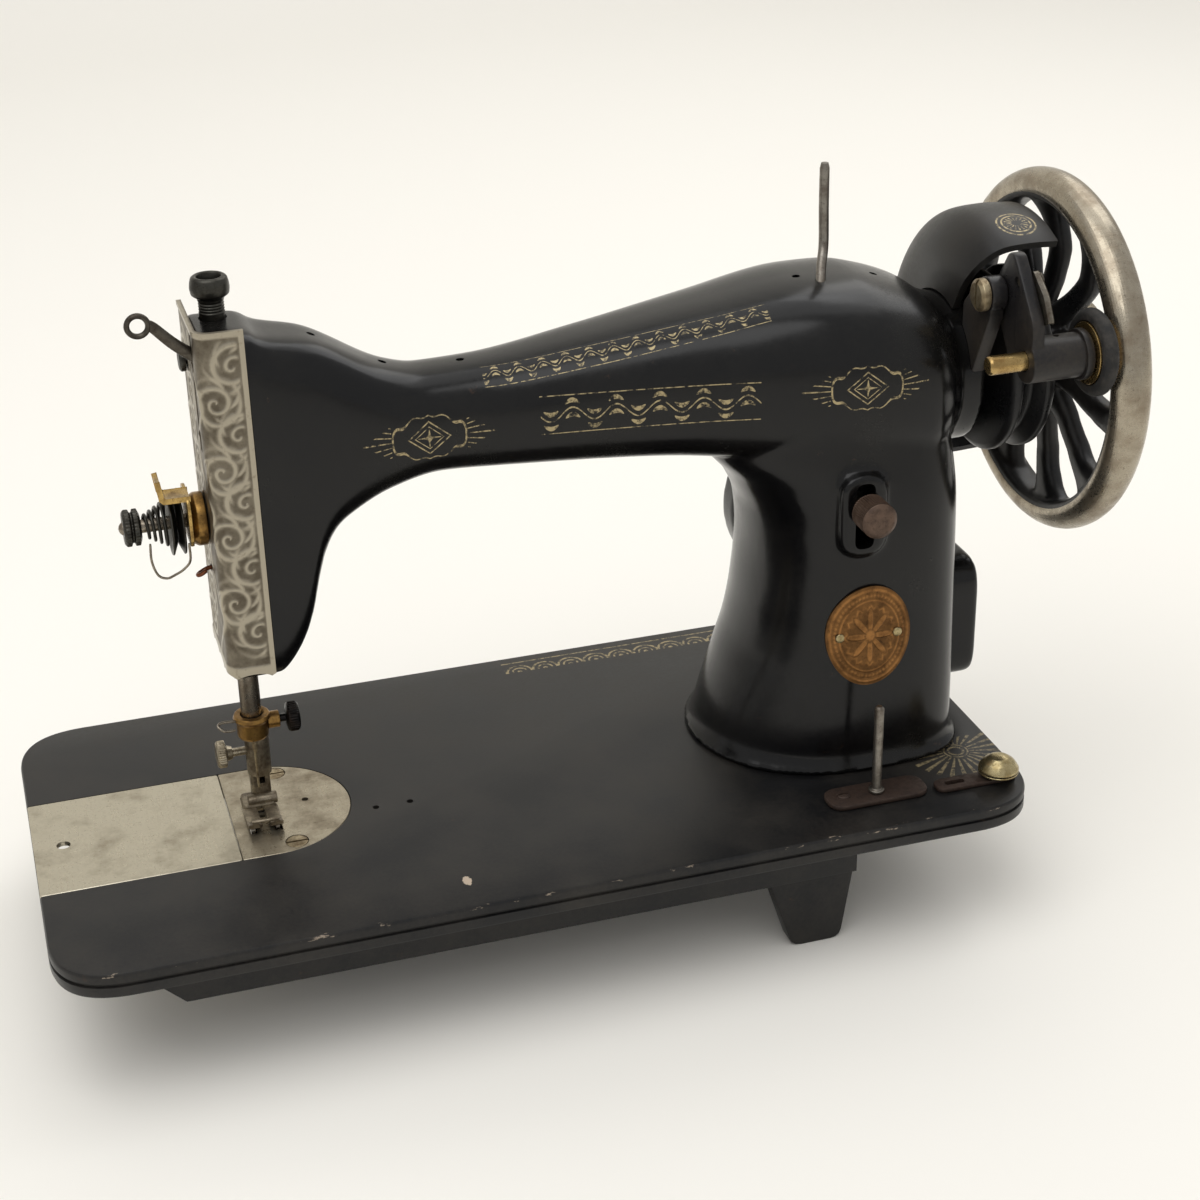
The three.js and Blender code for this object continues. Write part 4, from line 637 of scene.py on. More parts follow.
def arm_gold(tree, x, y, z):
    """Two cartouches and a leafy band on the front of the arm, and a narrow band along its shoulder."""
    middle = maths(tree, "SUBTRACT", z, 153.2)
    band = vine(tree, x, middle, 194, 272, 6.2)
    shoulder = maths(tree, "MULTIPLY_ADD", x, 0.1, maths(tree, "ADD", y, -5.4))
    top_band = all_of(tree, vine(tree, x, shoulder, 176, 279, 3.4), maths(tree, "GREATER_THAN", z, 164))
    marks = sum_of(tree, band, cartouche(tree, x, z, (154.3, 149.6)), cartouche(tree, x, z, (310.1, 155.4)))
    low = all_of(tree, marks, maths(tree, "LESS_THAN", z, 167))
    return all_of(tree, sum_of(tree, low, top_band), maths(tree, "LESS_THAN", y, -4))


arm_japan = japan("arm black japan, rubbed", "070708", "141311", arm_gold, (0.14, 0.28))
fitted(arm, arm_japan, "arm", sharp=50)

# ---- face plate ----
# A thin steel cover wraps the head's left end and its front corner. Acanthus scrolls are engraved and
# etched into it over a matt ground, inside a plain bead, and its lower edge is cut in scallops. The nickel
# is worn bright on the scrolls and brown in the ground. One screw holds it.
PLATE_X, PLATE_FRONT, PLATE_BACK, PLATE_RIGHT = 76.1, -21.2, 18.5, 93.0
PLATE_LOW, PLATE_HIGH, PLATE_BEND, PLATE_THICK = 67.0, 197.5, 6.0, 1.5
FLAT = PLATE_BACK - PLATE_FRONT - PLATE_BEND
CURVED = PLATE_BEND * math.pi / 2
WRAP = FLAT + CURVED + PLATE_RIGHT - PLATE_X - PLATE_BEND


def wrapped(along, depth):
    """The place on the plate at a distance along its wrap: forward on the left side, round a quarter circle
    and along the front; the point lies `depth` under the outer face."""
    turn = np.clip((along - FLAT) / PLATE_BEND, 0, np.pi / 2)
    x = PLATE_X + PLATE_BEND * (1 - np.cos(turn)) + np.maximum(along - FLAT - CURVED, 0)
    y = PLATE_BACK - np.minimum(along, FLAT) - PLATE_BEND * np.sin(turn)
    return x + depth * np.cos(turn), y + depth * np.sin(turn)


def scrolls(along, z):
    """Height of the engraving from 0 to 1: a sine stem, spirals whose ridges are where the angle plus the
    radius over the pitch is whole, and leaf tips where the angle's fifth harmonic is high."""
    height = np.exp(-(((along - 30 - 7 * np.sin(z / 6.4)) / 1.0) ** 2))
    for index, level in enumerate(np.arange(82, 192, 12.5)):
        for side, middle in enumerate((13.0, 46.0)):
            hand = 1 if (index + side) % 2 else -1
            across, up = along - middle - 3.5 * hand, z - level - 3.0 * side
            radius, angle = np.hypot(across, up), np.arctan2(up, across) * hand
            turns = angle / (2 * np.pi) + radius / 4.4
            off = np.abs(turns - np.round(turns)) * 4.4
            ridge = np.exp(-((off / (0.45 + 0.07 * radius)) ** 2)) * np.clip((10.5 - radius) / 2, 0, 1)
            leaf = np.clip(np.cos(5 * angle + radius * 0.9) - 0.45, 0, 1) * 1.6
            leaf = leaf * np.clip((radius - 4) / 2, 0, 1) * np.clip((11 - radius) / 3, 0, 1)
            height = np.maximum(height, np.maximum(ridge, leaf))
    bead = np.clip((np.maximum(z - PLATE_HIGH + 2.4, along - WRAP + 2.0)) / 0.8, 0, 1)
    band = np.clip((PLATE_LOW + 5.5 - z) / 0.7, 0, 1)
    quiet = np.clip((np.minimum(PLATE_HIGH - 2.4 - z, WRAP - 2.0 - along)) / 1.2, 0, 1)
    return np.maximum(height * quiet * (1 - band), np.maximum(bead * 1.5, band))


along = np.linspace(0, WRAP, 112)[:, None]
level = np.linspace(0, 1, 250)
lobe = (along - FLAT - CURVED * 0.5 + 48) % 12.4 / 6.2 - 1
low_edge = PLATE_LOW + 0.2 + 1.9 * np.sqrt(np.clip(1 - lobe**2, 0, 1))
z = low_edge + (PLATE_HIGH - low_edge) * level
carved = scrolls(along + 0 * z, z)
worn_in = 0.32 * (1 - np.clip(carved, 0, 1.5))
outer = np.stack([*wrapped(along, worn_in), z], -1)
inner = np.stack([*wrapped(along + 0 * z, PLATE_THICK), z], -1)[:, ::-1]
rings = np.concatenate([outer, inner], 1)
depths = np.concatenate([carved, 0 * carved], 1).ravel()


def engraved(name):
    """Nickel whose tone follows the engraving: bright where it stands high, brown and matt in the ground."""
    material, tree, shader, place = blank(name)
    height = add(tree, "ShaderNodeAttribute", attribute_name="relief").outputs["Fac"]
    cloud = grain(tree, place, 9, 5, rough=0.7)
    worn = between(tree, maths(tree, "MULTIPLY_ADD", cloud, 1.1, height), 0.45, 1.35)
    tone = blend(tree, worn, colour("5f574a"), colour("a49c8b"))
    spots = between(tree, grain(tree, place, 3, 4, rough=0.75), 0.58, 0.7)
    tone = blend(tree, maths(tree, "MULTIPLY", spots, 0.35), tone, colour("4c3c2a"))
    fine = grain(tree, place, 0.8, 2)
    bump = add(tree, "ShaderNodeBump", {"Height": fine, "Strength": 0.35, "Distance": 0.00005})
    tree.links.new(tone, shader.inputs["Base Color"])
    tree.links.new(between(tree, worn, 0, 1, 0.5, 0.3), shader.inputs["Roughness"])
    tree.links.new(bump.outputs[0], shader.inputs["Normal"])
    shader.inputs["Metallic"].default_value = 0.9
    return material


face_plate = machined(
    solid("face_plate_engraved", skin(rings), depths),
    joined(box((70, 80), (-11.6, -8.4), (152, 196)), rod("x", 70, 80, 3.2, (0, 123), 0.01),
           rod("x", 70, 80, 2.2, (8, 179.5), 0.01), rod("x", 70, 80, 1.3, (0, 103.5), 0.01)))
fitted(face_plate, engraved("engraved nickel, tarnished"), "face_plate", sharp=40)


# Oiled steel: grey with a brown bloom; a dark one has the blue-black of heat or of old oil.
def steel(name, base="6f6b64", stain="3b2f25", rough=(0.28, 0.5), size=6, metal=0.95):
    material, tree, shader, place = blank(name)
    patch = between(tree, grain(tree, place, size, 5, rough=0.7), 0.42, 0.68)
    pits = between(tree, grain(tree, place, 0.9, 3, rough=0.7), 0.58, 0.68)
    tone = blend(tree, maths(tree, "MULTIPLY", patch, 0.8), colour(base), colour(stain))
    tone = blend(tree, maths(tree, "MULTIPLY", pits, 0.5), tone, colour("2a1d14"))
    tree.links.new(tone, shader.inputs["Base Color"])
    tree.links.new(between(tree, patch, 0, 1, *rough), shader.inputs["Roughness"])
    bump = add(tree, "ShaderNodeBump", {"Height": pits, "Strength": 0.3, "Distance": 0.00005})
    tree.links.new(bump.outputs[0], shader.inputs["Normal"])
    shader.inputs["Metallic"].default_value = metal
    return material


dark_steel = steel("gunmetal steel, oiled", "45443f", "28241f", (0.32, 0.5))
bar_steel = steel("ground steel bar", "8d8578", "4d3d2c", (0.22, 0.42), 8)
grey_steel = steel("machined steel, dull", "7a756b", "453a2e", (0.35, 0.55))
slotted("face_plate_side_screw", "face_plate_screw",
        [[73.5, 0], [73.5, 3.4], [74.1, 4.2], [75.8, 4.2], [75.8, 1.8], [79, 1.8], [79, 0]], "x",
        (8, 179.5), box((72, 74.4), (7.4, 8.6), (170, 190)), dark_steel)

# ---- needle bar, its clamp and needle ----
# A ground steel bar slides in two bores of the head. At its foot a brass collar holds the needle by a
# blackened thumbscrew and carries a bent wire that guides the thread.


def path_through(points, steps=8):
    """A Catmull-Rom curve: on each span the cubic through its ends whose slopes are half the neighbours'
    distance."""
    points = np.asarray(points, float)
    ends = np.concatenate([[2 * points[0] - points[1]], points, [2 * points[-1] - points[-2]]])
    p0, p1, p2, p3 = (ends[i : len(ends) - 3 + i][:, None] for i in range(4))
    t = (np.arange(steps) / steps)[None, :, None]
    made = p1 + t * (p2 - p0) / 2 + t**2 * (p0 - 2.5 * p1 + 2 * p2 - p3 / 2) + t**3 * (
        (p3 - p0) / 2 + 1.5 * (p1 - p2))
    return np.concatenate([made.reshape(-1, points.shape[1]), points[-1:]])


def pipe(points, radius, up=(0, 0, 1), flat=1.0, sides=14, steps=8):
    """A round or flattened section on a smooth path: centre plus radius times the cosine along the side
    direction and the sine along the other; the side direction is square to the path and to `up`."""
    path = path_through(points, steps)
    size = path_through(np.reshape(np.broadcast_to(radius, len(points)), (-1, 1)), steps)
    tangent = np.gradient(path, axis=0)
    side = np.cross(tangent, up)
    side /= np.linalg.norm(side, axis=1, keepdims=True)
    over = np.cross(side, tangent)
    over /= np.linalg.norm(over, axis=1, keepdims=True)
    size[[0, -1]] *= 0.75
    angle = np.linspace(0, 2 * np.pi, sides, endpoint=False)[None, :, None]
    return skin(path[:, None] + size[:, None] * (side[:, None] * np.cos(angle)
                                                 + over[:, None] * np.sin(angle) * flat))


needle_bar = rod("z", 37.5, 192.5, 3.75, NEEDLE, 0.8)
fitted(solid("needle_bar_ground", needle_bar), bar_steel, "needle_bar")

CLAMP_SCREW = (NEEDLE[1], 40.5)
brass = steel("brass, brown with age", "96743f", "523a24", (0.28, 0.46), 4)
clamp = joined(turned([[35, 4.05], [35, 5.2], [36, 5.8], [41.5, 5.8], [43, 7], [44.5, 6.4], [44.5, 4.05]],
                      "z", NEEDLE, 0.4, 48, True),
               turned([[90, 1.9], [90, 3.2], [94.5, 3.2], [94.5, 1.9]], "x", CLAMP_SCREW, 0.4, 32, True))
clamp = machined(solid("needle_clamp_collar", clamp), box((76, 94), (1.1, 12), (31, 48)))
fitted(clamp, brass, "needle_clamp")
thread_wire = solid("needle_thread_wire", pipe([[79.5, -6, 43], [73.5, -7, 44], [71.5, -8.5, 43.5],
                                                [73.5, -10, 42], [77.5, -9, 41]], 0.5))
fitted(thread_wire, bar_steel, "needle_clamp")


def knurled(profile, axis, centre, from_, to, teeth=36, depth=0.22):
    """A turned knob whose radius between two places also swings by a sine of so many teeth."""
    points, faces = turned(profile, axis, centre, 0.3, teeth * 4)
    column = "xyz".index(axis)
    others = [k for k in range(3) if k != column]
    off = points[:, others] - centre
    radius = np.hypot(*off.T)
    angle = np.arctan2(off[:, 1], off[:, 0])
    inside = (points[:, column] > from_) & (points[:, column] < to) & (radius > 0.5 * radius.max())
    swing = np.where(inside, 1 - depth * (0.5 + 0.5 * np.cos(teeth * angle)) / np.maximum(radius, 0.1), 1)
    points[:, others] = np.array(centre) + off * swing[:, None]
    return points, faces


clamp_screw = knurled([[88.9, 0], [88.9, 1.5], [96.9, 1.5], [96.9, 3], [97.5, 5.2], [98.3, 5.6], [101, 5.6],
                       [101.9, 4.6], [101.5, 2.4], [101.9, 0]], "x", CLAMP_SCREW, 98, 101.3)
fitted(solid("needle_clamp_thumbscrew", clamp_screw), steel("blackened steel", "1c1b1b", "2a211b"),
       "needle_clamp_screw")
fitted(solid("needle_steel", turned([[11, 0], [13.5, 0.4], [28, 0.55], [29, 1], [37.2, 1], [37.2, 0]], "z",
                                    NEEDLE, 0.3, 24)), screw_nickel, "needle")

# ---- presser bar, spring, foot and its screws ----
# A second bar, behind the first, carries the hinged cloth foot and is pushed down by a coil spring under
# a hollow gunmetal screw on top of the head. The foot is nickelled steel, dark in its corners.
FOOT_SCREW = (6.0, 23.6)
bar_profile = [[15, 0], [15, 3], [99.6, 3], [99.6, 5.2], [111.6, 5.2], [111.6, 3], [172, 3], [172, 0]]
fitted(solid("presser_bar_ground", turned(bar_profile, "z", PRESSER, 0.5)), bar_steel, "presser_bar")


def helix(centre, low, high, radius, turns, wire, axis="z"):
    """A round wire whose centre runs at even speed along an axis and round it; the radius may change."""
    count = int(turns * 20) + 1
    t = np.linspace(0, 1, count)
    angle = 2 * np.pi * turns * t
    reach = np.interp(t, [0, 1], np.broadcast_to(radius, 2))
    along, first, second = low + (high - low) * t, np.cos(angle), np.sin(angle)
    order = {"z": lambda r, a: (centre[0] + r * first, centre[1] + r * second, a),
             "x": lambda r, a: (a, centre[0] + r * first, centre[1] + r * second)}[axis]
    angle = np.linspace(0, 2 * np.pi, 9)[:-1]
    rows = [np.stack(order(reach + wire * np.cos(a), along + wire * np.sin(a)), -1) for a in angle]
    return skin(np.stack(rows, 1))


coil = fitted(solid("presser_spring_coil", helix(PRESSER, 112.8, 166.8, 4.5, 11, 0.7)), grey_steel,
              "presser_spring")
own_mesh(coil)
rings_up = [[196.2 + k * 0.5, 4.15 if k % 2 else 4.55] for k in range(9)]
screw_profile = [[168, 3.5], [168, 4.5], [195.8, 4.5], *rings_up, [201.2, 4.7], [202.6, 6.6],
                 [204.6, 6.9], [206.6, 6.7], [208.4, 6.2], [209, 5.2], [208.8, 4.3], [206, 3.7], [204, 3.5]]
fitted(solid("pressure_thumbscrew", turned(screw_profile, "z", PRESSER, 0.5, 64, True)), dark_steel,
       "pressure_screw")


def foot():
    """A sleeve and shank over a sole in two toes whose height grows with the square of the way forward."""
    sleeve = turned([[13.5, 3.3], [13.5, 4.6], [31, 4.6], [31, 3.3]], "z", PRESSER, 0.5, 40, True)
    neck = plate(rounded(82.6, 90, 3, 9.6, 1.6, 5), "z", 2, 14.8, 0.8)
    hinge = rod("x", 80.5, 91.5, 2.3, (2, 3.9), 0.5)
    heel = plate(rounded(78.4, 90.6, -1.2, 9.6, 2.2, 7), "z", 0.6, 3.4, 0.6)
    toes = []
    for left, right in ((78, 83.2), (85.8, 91)):
        y = np.linspace(-0.6, -17.2, 26)[:, None]
        rise = 0.05 * np.clip(-10 - y, 0, None) ** 2
        wide = np.clip((y + 17.6) / 2.0, 0.2, 1) ** 0.5
        middle, half = (left + right) / 2, (right - left) / 2 * wide
        ring = np.array([[-1, 0.3], [-0.85, 0], [0.85, 0], [1, 0.3], [1, 1.5], [0.8, 1.9], [-0.8, 1.9],
                         [-1, 1.5]])
        x = middle + ring[:, 0] * half
        toes.append(skin(np.stack([x, y + 0 * x, 0.6 + rise + ring[:, 1] + 0 * x], -1)))
    bar = rod("x", 79.5, 89.5, 0.9, (-13.2, 3.4), 0.3)
    return joined(sleeve, neck, hinge, heel, *toes, bar)


fitted(machined(solid("presser_foot_nickelled", foot()), rod("x", 78, 84, 1.9, FOOT_SCREW, 0.01),
                rod("z", 10, 40, 3.3, PRESSER, 0.01)),
       nickel("nickel plate, dark with oil", "8f8573", "43372a", (0.3, 0.48), (0.4, 0.62), 5),
       "presser_foot")
foot_screw = knurled([[71, 0], [71, 4.4], [71.8, 5.2], [74.4, 5.2], [75, 3], [77, 2.4], [77, 1.6],
                      [83, 1.6], [83, 0]], "x", FOOT_SCREW, 71.5, 74.6)
fitted(solid("presser_foot_thumbscrew", foot_screw),
       nickel("nickel thumbscrew", "a59b87", "51442f", (0.3, 0.46), (0.42, 0.62), 4), "presser_foot_screw")
lifter = joined(rod("y", 9.6, 23.5, 3, LIFTER), rod("y", 21.8, 26, 6, LIFTER, 0.8),
                pipe([[90, 23.9, 96], [97, 24.4, 88], [100, 26, 76], [99, 30, 65]], [2.6, 2.3, 2.1, 2.3],
                     (0, 1, 0)))
fitted(solid("presser_lifter_forged", lifter), bar_steel, "presser_lifter")

# ---- take-up lever ----
# A forged steel lever swings from a boss in the head, comes out through a slot of the face plate and ends
# in a ring that the thread passes through.
TAKE_UP_Y = -10.0
TAKE_UP_BOSS = (100.0, 173.0)
EYE, EYE_REACH, EYE_WIRE = (59.7, 199.2), 3.55, (1.0, 1.1)
take_up = [[100, TAKE_UP_Y, 173], [89, TAKE_UP_Y, 179.6], [79.1, TAKE_UP_Y, 185.4],
           [71.1, TAKE_UP_Y, 191.5], [64.4, TAKE_UP_Y, 198.4], [62.4, TAKE_UP_Y, 199.0]]
eye_turn = np.linspace(0, 2 * np.pi, 41)[:-1]
section = np.linspace(0, 2 * np.pi, 13)[:-1]
eye_reach = EYE_REACH + EYE_WIRE[0] * np.cos(section)
eye = skin(np.stack([EYE[0] + eye_reach * np.cos(eye_turn)[:, None],
                     TAKE_UP_Y + EYE_WIRE[1] * np.sin(section) + 0 * eye_turn[:, None],
                     EYE[1] + eye_reach * np.sin(eye_turn)[:, None]], -1), True)
lever = joined(pipe(take_up, [3.4, 2.5, 2.3, 2.1, 1.9, 1.7], (0, 1, 0), 0.45, 20), eye,
               turned([[-11.1, 2.8], [-11.1, 5.5], [-8.9, 5.5], [-8.9, 2.8]], "y", TAKE_UP_BOSS, 0.3, 40,
                      True))
fitted(solid("take_up_lever_forged", lever), steel("steel lever, oiled", "565149", "2e2721", (0.28, 0.45)),
       "take_up_lever")

# ---- thread tension ----
# Two dark discs press on the thread by a conical spring and a knurled nut on a split stud; a fine wire
# spring catches slack, and a bent brass strip and a small hook lead the thread in and out.
TENSION = (0.0, 123.0)
fitted(solid("tension_stud_bright", turned([[45.6, 0], [46, 1.4], [47, 2.4], [79.5, 2.4], [79.5, 0]], "x",
                                           TENSION, 0.5, 32)), bar_steel, "tension_stud")
fitted(solid("tension_base_brass", turned([[70.6, 2.7], [70.6, 8.4], [72.6, 9.6], [75.8, 9.6], [75.8, 2.7]],
                                          "x", TENSION, 0.4, 56, True)), brass, "tension_base")
for node, face, side in (("tension_disc_outer", 65.2, -1), ("tension_disc_inner", 65.6, 1)):
    line = [[face, 2.7], [face, 8], [face + side * 1.6, 11.8], [face + side * 2.3, 11.6],
            [face + side * 0.8, 8], [face + side * 0.8, 2.7]]
    fitted(solid(f"{node}_pressed", turned(line, "x", TENSION, 0.25, 64, True)), dark_steel, node)
fitted(solid("tension_spring_cone", helix(TENSION, 54.6, 62.8, (3.7, 8.3), 4.2, 0.6, "x")), dark_steel,
       "tension_spring")
nut = knurled([[47.2, 2.7], [47.2, 5.6], [48, 6.6], [49.6, 6.6], [50, 5.4], [50.6, 5.4], [51, 6.6],
               [52.6, 6.6], [53.4, 4.4], [53.4, 2.7]], "x", TENSION, 47.8, 52.8, 32)
fitted(solid("tension_nut_knurled", nut), dark_steel, "tension_nut")
guide_outline = [[70.3, 135.2], [61.4, 135.2], [60.1, 136.5], [59.2, 143.2], [60.5, 143.4],
                 [61.4, 137.2], [62.2, 136.6], [70.3, 136.6]]
guide = joined(plate(rounded(-13.4, 5, 117, 136.6, 5, 7), "x", 69, 70.2, 0.2),
               plate(guide_outline, "y", -12, -3, 0.3))
fitted(machined(solid("tension_guide_bent", guide), rod("x", 60, 80, 2.7, TENSION, 0.01)),
       steel("brass strip, bright", "b89a5e", "6b5232", (0.22, 0.4), 5), "tension_guide")
check_path = [[55.5, -6, 118.5], [55.3, -6.5, 112], [57, -5.5, 106], [60, -5, 104], [63, -6, 105.4],
              [66, -8, 108], [68.2, -11, 112.4], [68.3, -12.4, 119.5]]
fitted(solid("check_spring_wire", pipe(check_path, 0.45, (0, 1, 0.3))), bar_steel, "check_spring")
hook_path = [[79.7, 0, 103.5], [75.5, 0, 103.5], [72.5, -0.6, 102.6], [71.1, -2.2, 102.3],
             [72.1, -3.6, 103], [74.1, -3.6, 104.2]]
fitted(solid("thread_hook_copper", pipe(hook_path, 0.8, (0, 0.2, 1))),
       steel("copper hook", "7a4a34", "3a231a"), "thread_hook")

# ---- shaft, crank and rods inside the arm ----
# A steel shaft runs the length of the arm. Its crank and link drive the needle bar in the head, and an
# eccentric in the pillar moves a forked rod that rocks the shuttle's shaft under the bed.
CRANK_PIN, ROD_PIN = (0, 157), (-16, SHUTTLE_Z)
LINK = ((92, 94.2), (-5.5, 112), CRANK_PIN)  # its two faces and its two pins
crank = plate([[-7, 144], [-11, 132], [11, 132], [7, 144], [3.2, 157], [-3.2, 157]], "x", 97, 101, 0.5)
fitted(solid("arm_shaft_turned", joined(
    rod("x", 98, 419.5, 6, (0, SHAFT_Z), 0.8, 40), crank, rod("x", 97, 111, 10.5, (0, SHAFT_Z), 0.6, 40),
    rod("x", 94.6, 98, 2.2, CRANK_PIN), rod("x", 297.5, 302.5, 9, (0, SHAFT_Z + 1.5), 0.4, 48))),
       grey_steel, "arm_shaft")
link = plate([[-7.9, 112], [-3.1, 112], [2.2, 157], [-2.2, 157]], "x", *LINK[0], 0.4)
link = joined(link, *[rod("x", *LINK[0], 4.2, centre, 0.4) for centre in LINK[1:]])
fitted(solid("needle_bar_link_forged", link), grey_steel, "needle_bar_link")
block = turned([[107.5, 4.05], [107.5, 6.4], [116.5, 6.4], [116.5, 4.05]], "z", NEEDLE, 0.5, 40, True)
fitted(machined(solid("needle_bar_block", block), box((70, 100), (-1.2, 20), (90, 130))), grey_steel,
       "needle_bar_link")
fork = turned([[297, 11.5], [297, 15], [303, 15], [303, 11.5]], "x", (0, SHAFT_Z), 0.5, 64, True)
shank = plate([[-4.5, 131.5], [2.5, 131.5], [-13, -30], [-19.5, -30]], "x", 297, 303, 0.6)
fitted(machined(solid("connecting_rod_forged", joined(fork, shank, rod("x", 297, 303, 6, ROD_PIN, 0.6))),
                box((290, 310), (-20, 20), (147, 165)), rod("x", 290, 310, 2.3, ROD_PIN, 0.01)),
       grey_steel, "connecting_rod")

# ---- handwheel ----
# A cast iron wheel with ten swept spokes that spread where they meet the hub and the rim. It is japanned
# black but for the rim's tread, which is turned and nickelled; hands and damp have worn it brown and grey.
SPOKES = 10
FIRST_SPOKE = 0.67  # as a share of the angle between two spokes
SPOKE_FROM, SPOKE_TO = 13.0, 60.5
SPOKE_SWEEP = np.radians(11)
TREAD_X, TREAD_REACH = 404.0, 63.6
TREAD_HALF, TREAD_RISE = 7.5, 6.4


def spider():
    """The hub's sleeve, spokes whose width is least half way out, and a ring under the tread: shells that are
    made into one skin so that they meet in fillets."""
    reach = np.linspace(SPOKE_FROM, SPOKE_TO, 34)
    lean = np.interp(reach, [13, 27, 40, 51, 61], [400, 405, 407, 406, 404])
    wide = np.interp(reach, [13, 20, 28, 38, 48, 54, 57.5, 60.5], [5.5, 5.3, 4.9, 4.7, 5.2, 7.0, 9.6, 13])
    sweep = SPOKE_SWEEP * np.sin(np.pi * (reach - SPOKE_FROM) / (SPOKE_TO - SPOKE_FROM))
    thick = np.interp(reach, [13, 30, 60], [4.6, 3.6, 4.2])
    around = np.linspace(0, 2 * np.pi, 25)[:-1]
    section = np.stack([np.sign(np.cos(around)) * np.abs(np.cos(around)) ** 0.7,
                        np.sign(np.sin(around)) * np.abs(np.sin(around)) ** 0.7], 1)
    hub = [[393, 6.3], [391, 20], [394, 17.4], [411.8, 17], [411.8, 6.3]]
    ring = [[397.2, 61], [396.6, 64], [397.6, 67.4], [401, 66], [409, 65], [411, 63], [410.6, 59.6],
            [407, 58.6], [401, 58.6], [397.6, 59.4]]
    parts = [turned(hub, "x", (0, SHAFT_Z), 0.6, 64, True),
             turned(ring, "x", (0, SHAFT_Z), 0.8, 120, True)]
    for index in range(SPOKES):
        turn = (index + FIRST_SPOKE) / SPOKES * 2 * np.pi + sweep
        out = np.stack([0 * turn, -np.sin(turn), np.cos(turn)], 1)
        side = np.stack([0 * turn, -np.cos(turn), -np.sin(turn)], 1)
        middle = np.array([0, 0, SHAFT_Z]) + out * reach[:, None] + lean[:, None] * [1, 0, 0]
        parts.append(skin(middle[:, None] + section[None, :, :1] * wide[:, None, None] * side[:, None]
                          + section[None, :, 1:] * thick[:, None, None] * np.array([1.0, 0, 0])))
    return joined(*parts)


wheel_japan = japan("wheel black japan, worn", "141415", "2b2723", None, (0.26, 0.46))
wheel_spider = solid("handwheel_spokes", spider())
melt = wheel_spider.modifiers.new("melt", "REMESH")
melt.mode = "VOXEL"
melt.voxel_size = 0.9 * MM
melt.use_smooth_shade = True
settle = wheel_spider.modifiers.new("settle", "SMOOTH")
settle.iterations = 5
settle.factor = 0.5
fitted(baked(wheel_spider), wheel_japan, "handwheel", sharp=60)
groove = [[372, 6.3], [372, 33], [373.5, 35], [376, 35], [379.5, 29], [382.5, 29], [386, 35], [388.5, 35],
          [390, 33], [392, 20], [396, 17], [396, 6.3]]
fitted(solid("handwheel_belt_pulley", turned(groove, "x", (0, SHAFT_Z), 0.8, 96, True)), wheel_japan,
       "handwheel")
tread_angle = np.linspace(-0.62 * np.pi, 0.62 * np.pi, 30)
tread = np.stack([TREAD_X + TREAD_HALF * np.sin(tread_angle),
                  TREAD_REACH + TREAD_RISE * np.cos(tread_angle)], 1)
fitted(solid("handwheel_tread", turned(tread, "x", (0, SHAFT_Z), 0.1, 180, True)),
       nickel("nickel tread, brown with handling", "a39a89", "756552", (0.24, 0.4), (0.42, 0.7), 12, 0.3),
       "handwheel")

# ---- stop-motion washer and knob ----
# A large nickelled knob with a knurled edge screws on the shaft's end. It grips the wheel through a washer,
# and slackened it lets the wheel turn alone to wind bobbins.
fitted(solid("stop_motion_washer_stamped", turned([[412.3, 6.3], [412.3, 14], [413.5, 14], [413.5, 6.3]],
                                                  "x", (0, SHAFT_Z), 0.2, 64, True)), grey_steel,
       "stop_motion_washer")
stop_knob = knurled([[419.8, 0], [419.8, 6.3], [413.8, 6.3], [413.8, 17.5], [414.8, 18.3], [420, 18.3],
                     [421, 17.2], [421.5, 10], [422.6, 8.6], [424, 7.4], [424, 0]], "x", (0, SHAFT_Z),
                    414.4, 420.6, 72, 0.4)
fitted(solid("stop_motion_knob_nickelled", stop_knob),
       nickel("nickel knob, handled", "b5ab97", "5f4c38", (0.26, 0.44), (0.46, 0.68), 8),
       "stop_motion_knob")

# ---- belt guard ----
# A domed shell of spun sheet iron closes over the belt pulley. It is held at the arm's round boss, japanned
# black and dusty, and a small gilt rosette lies near its front edge.
GUARD_FROM, GUARD_TO = -26, 150  # degrees round the shaft, from straight up towards the back
ROSETTE = (379.5, -14.0)


def guard():
    """An arc of a turned shell: one section carried through the guard's angles, then capped."""
    outer = [[356, BOSS + 0.6], [357, 42], [361, 51], [368, 57.2], [379, 58.6], [391, 58]]
    inner = [[391, 55.2], [379, 55.8], [369.5, 54.4], [363.4, 49], [359.8, 41], [358.8, BOSS + 0.6]]
    line = np.concatenate([path_through(outer, 10), path_through(inner, 10)])
    turn = np.radians(np.linspace(GUARD_FROM, GUARD_TO, 110))[:, None]
    reach = line[:, 1] + 0 * turn
    return skin(np.stack([line[:, 0] + 0 * turn, reach * np.sin(turn), SHAFT_Z + reach * np.cos(turn)], -1))


def guard_gold(tree, x, y, z):
    """A rosette near the guard's front edge: two circles round a ring of rays."""
    across, up = maths(tree, "SUBTRACT", x, ROSETTE[0]), maths(tree, "SUBTRACT", y, ROSETTE[1])
    away = maths(tree, "SQRT", maths(tree, "ADD", maths(tree, "MULTIPLY", across, across),
                                     maths(tree, "MULTIPLY", up, up)))
    turn = maths(tree, "ARCTAN2", across, up)
    rays = between(tree, maths(tree, "SINE", maths(tree, "MULTIPLY", turn, 16)), 0.2, 0.5)
    rays = all_of(tree, rays, between(tree, away, 1.6, 1.9), between(tree, away, 4.6, 4.3))
    circles = [between(tree, maths(tree, "ABSOLUTE", maths(tree, "SUBTRACT", away, radius)), 0.45, 0.2)
               for radius in (5.4, 7.2)]
    return all_of(tree, sum_of(tree, rays, *circles), maths(tree, "GREATER_THAN", z, 190))


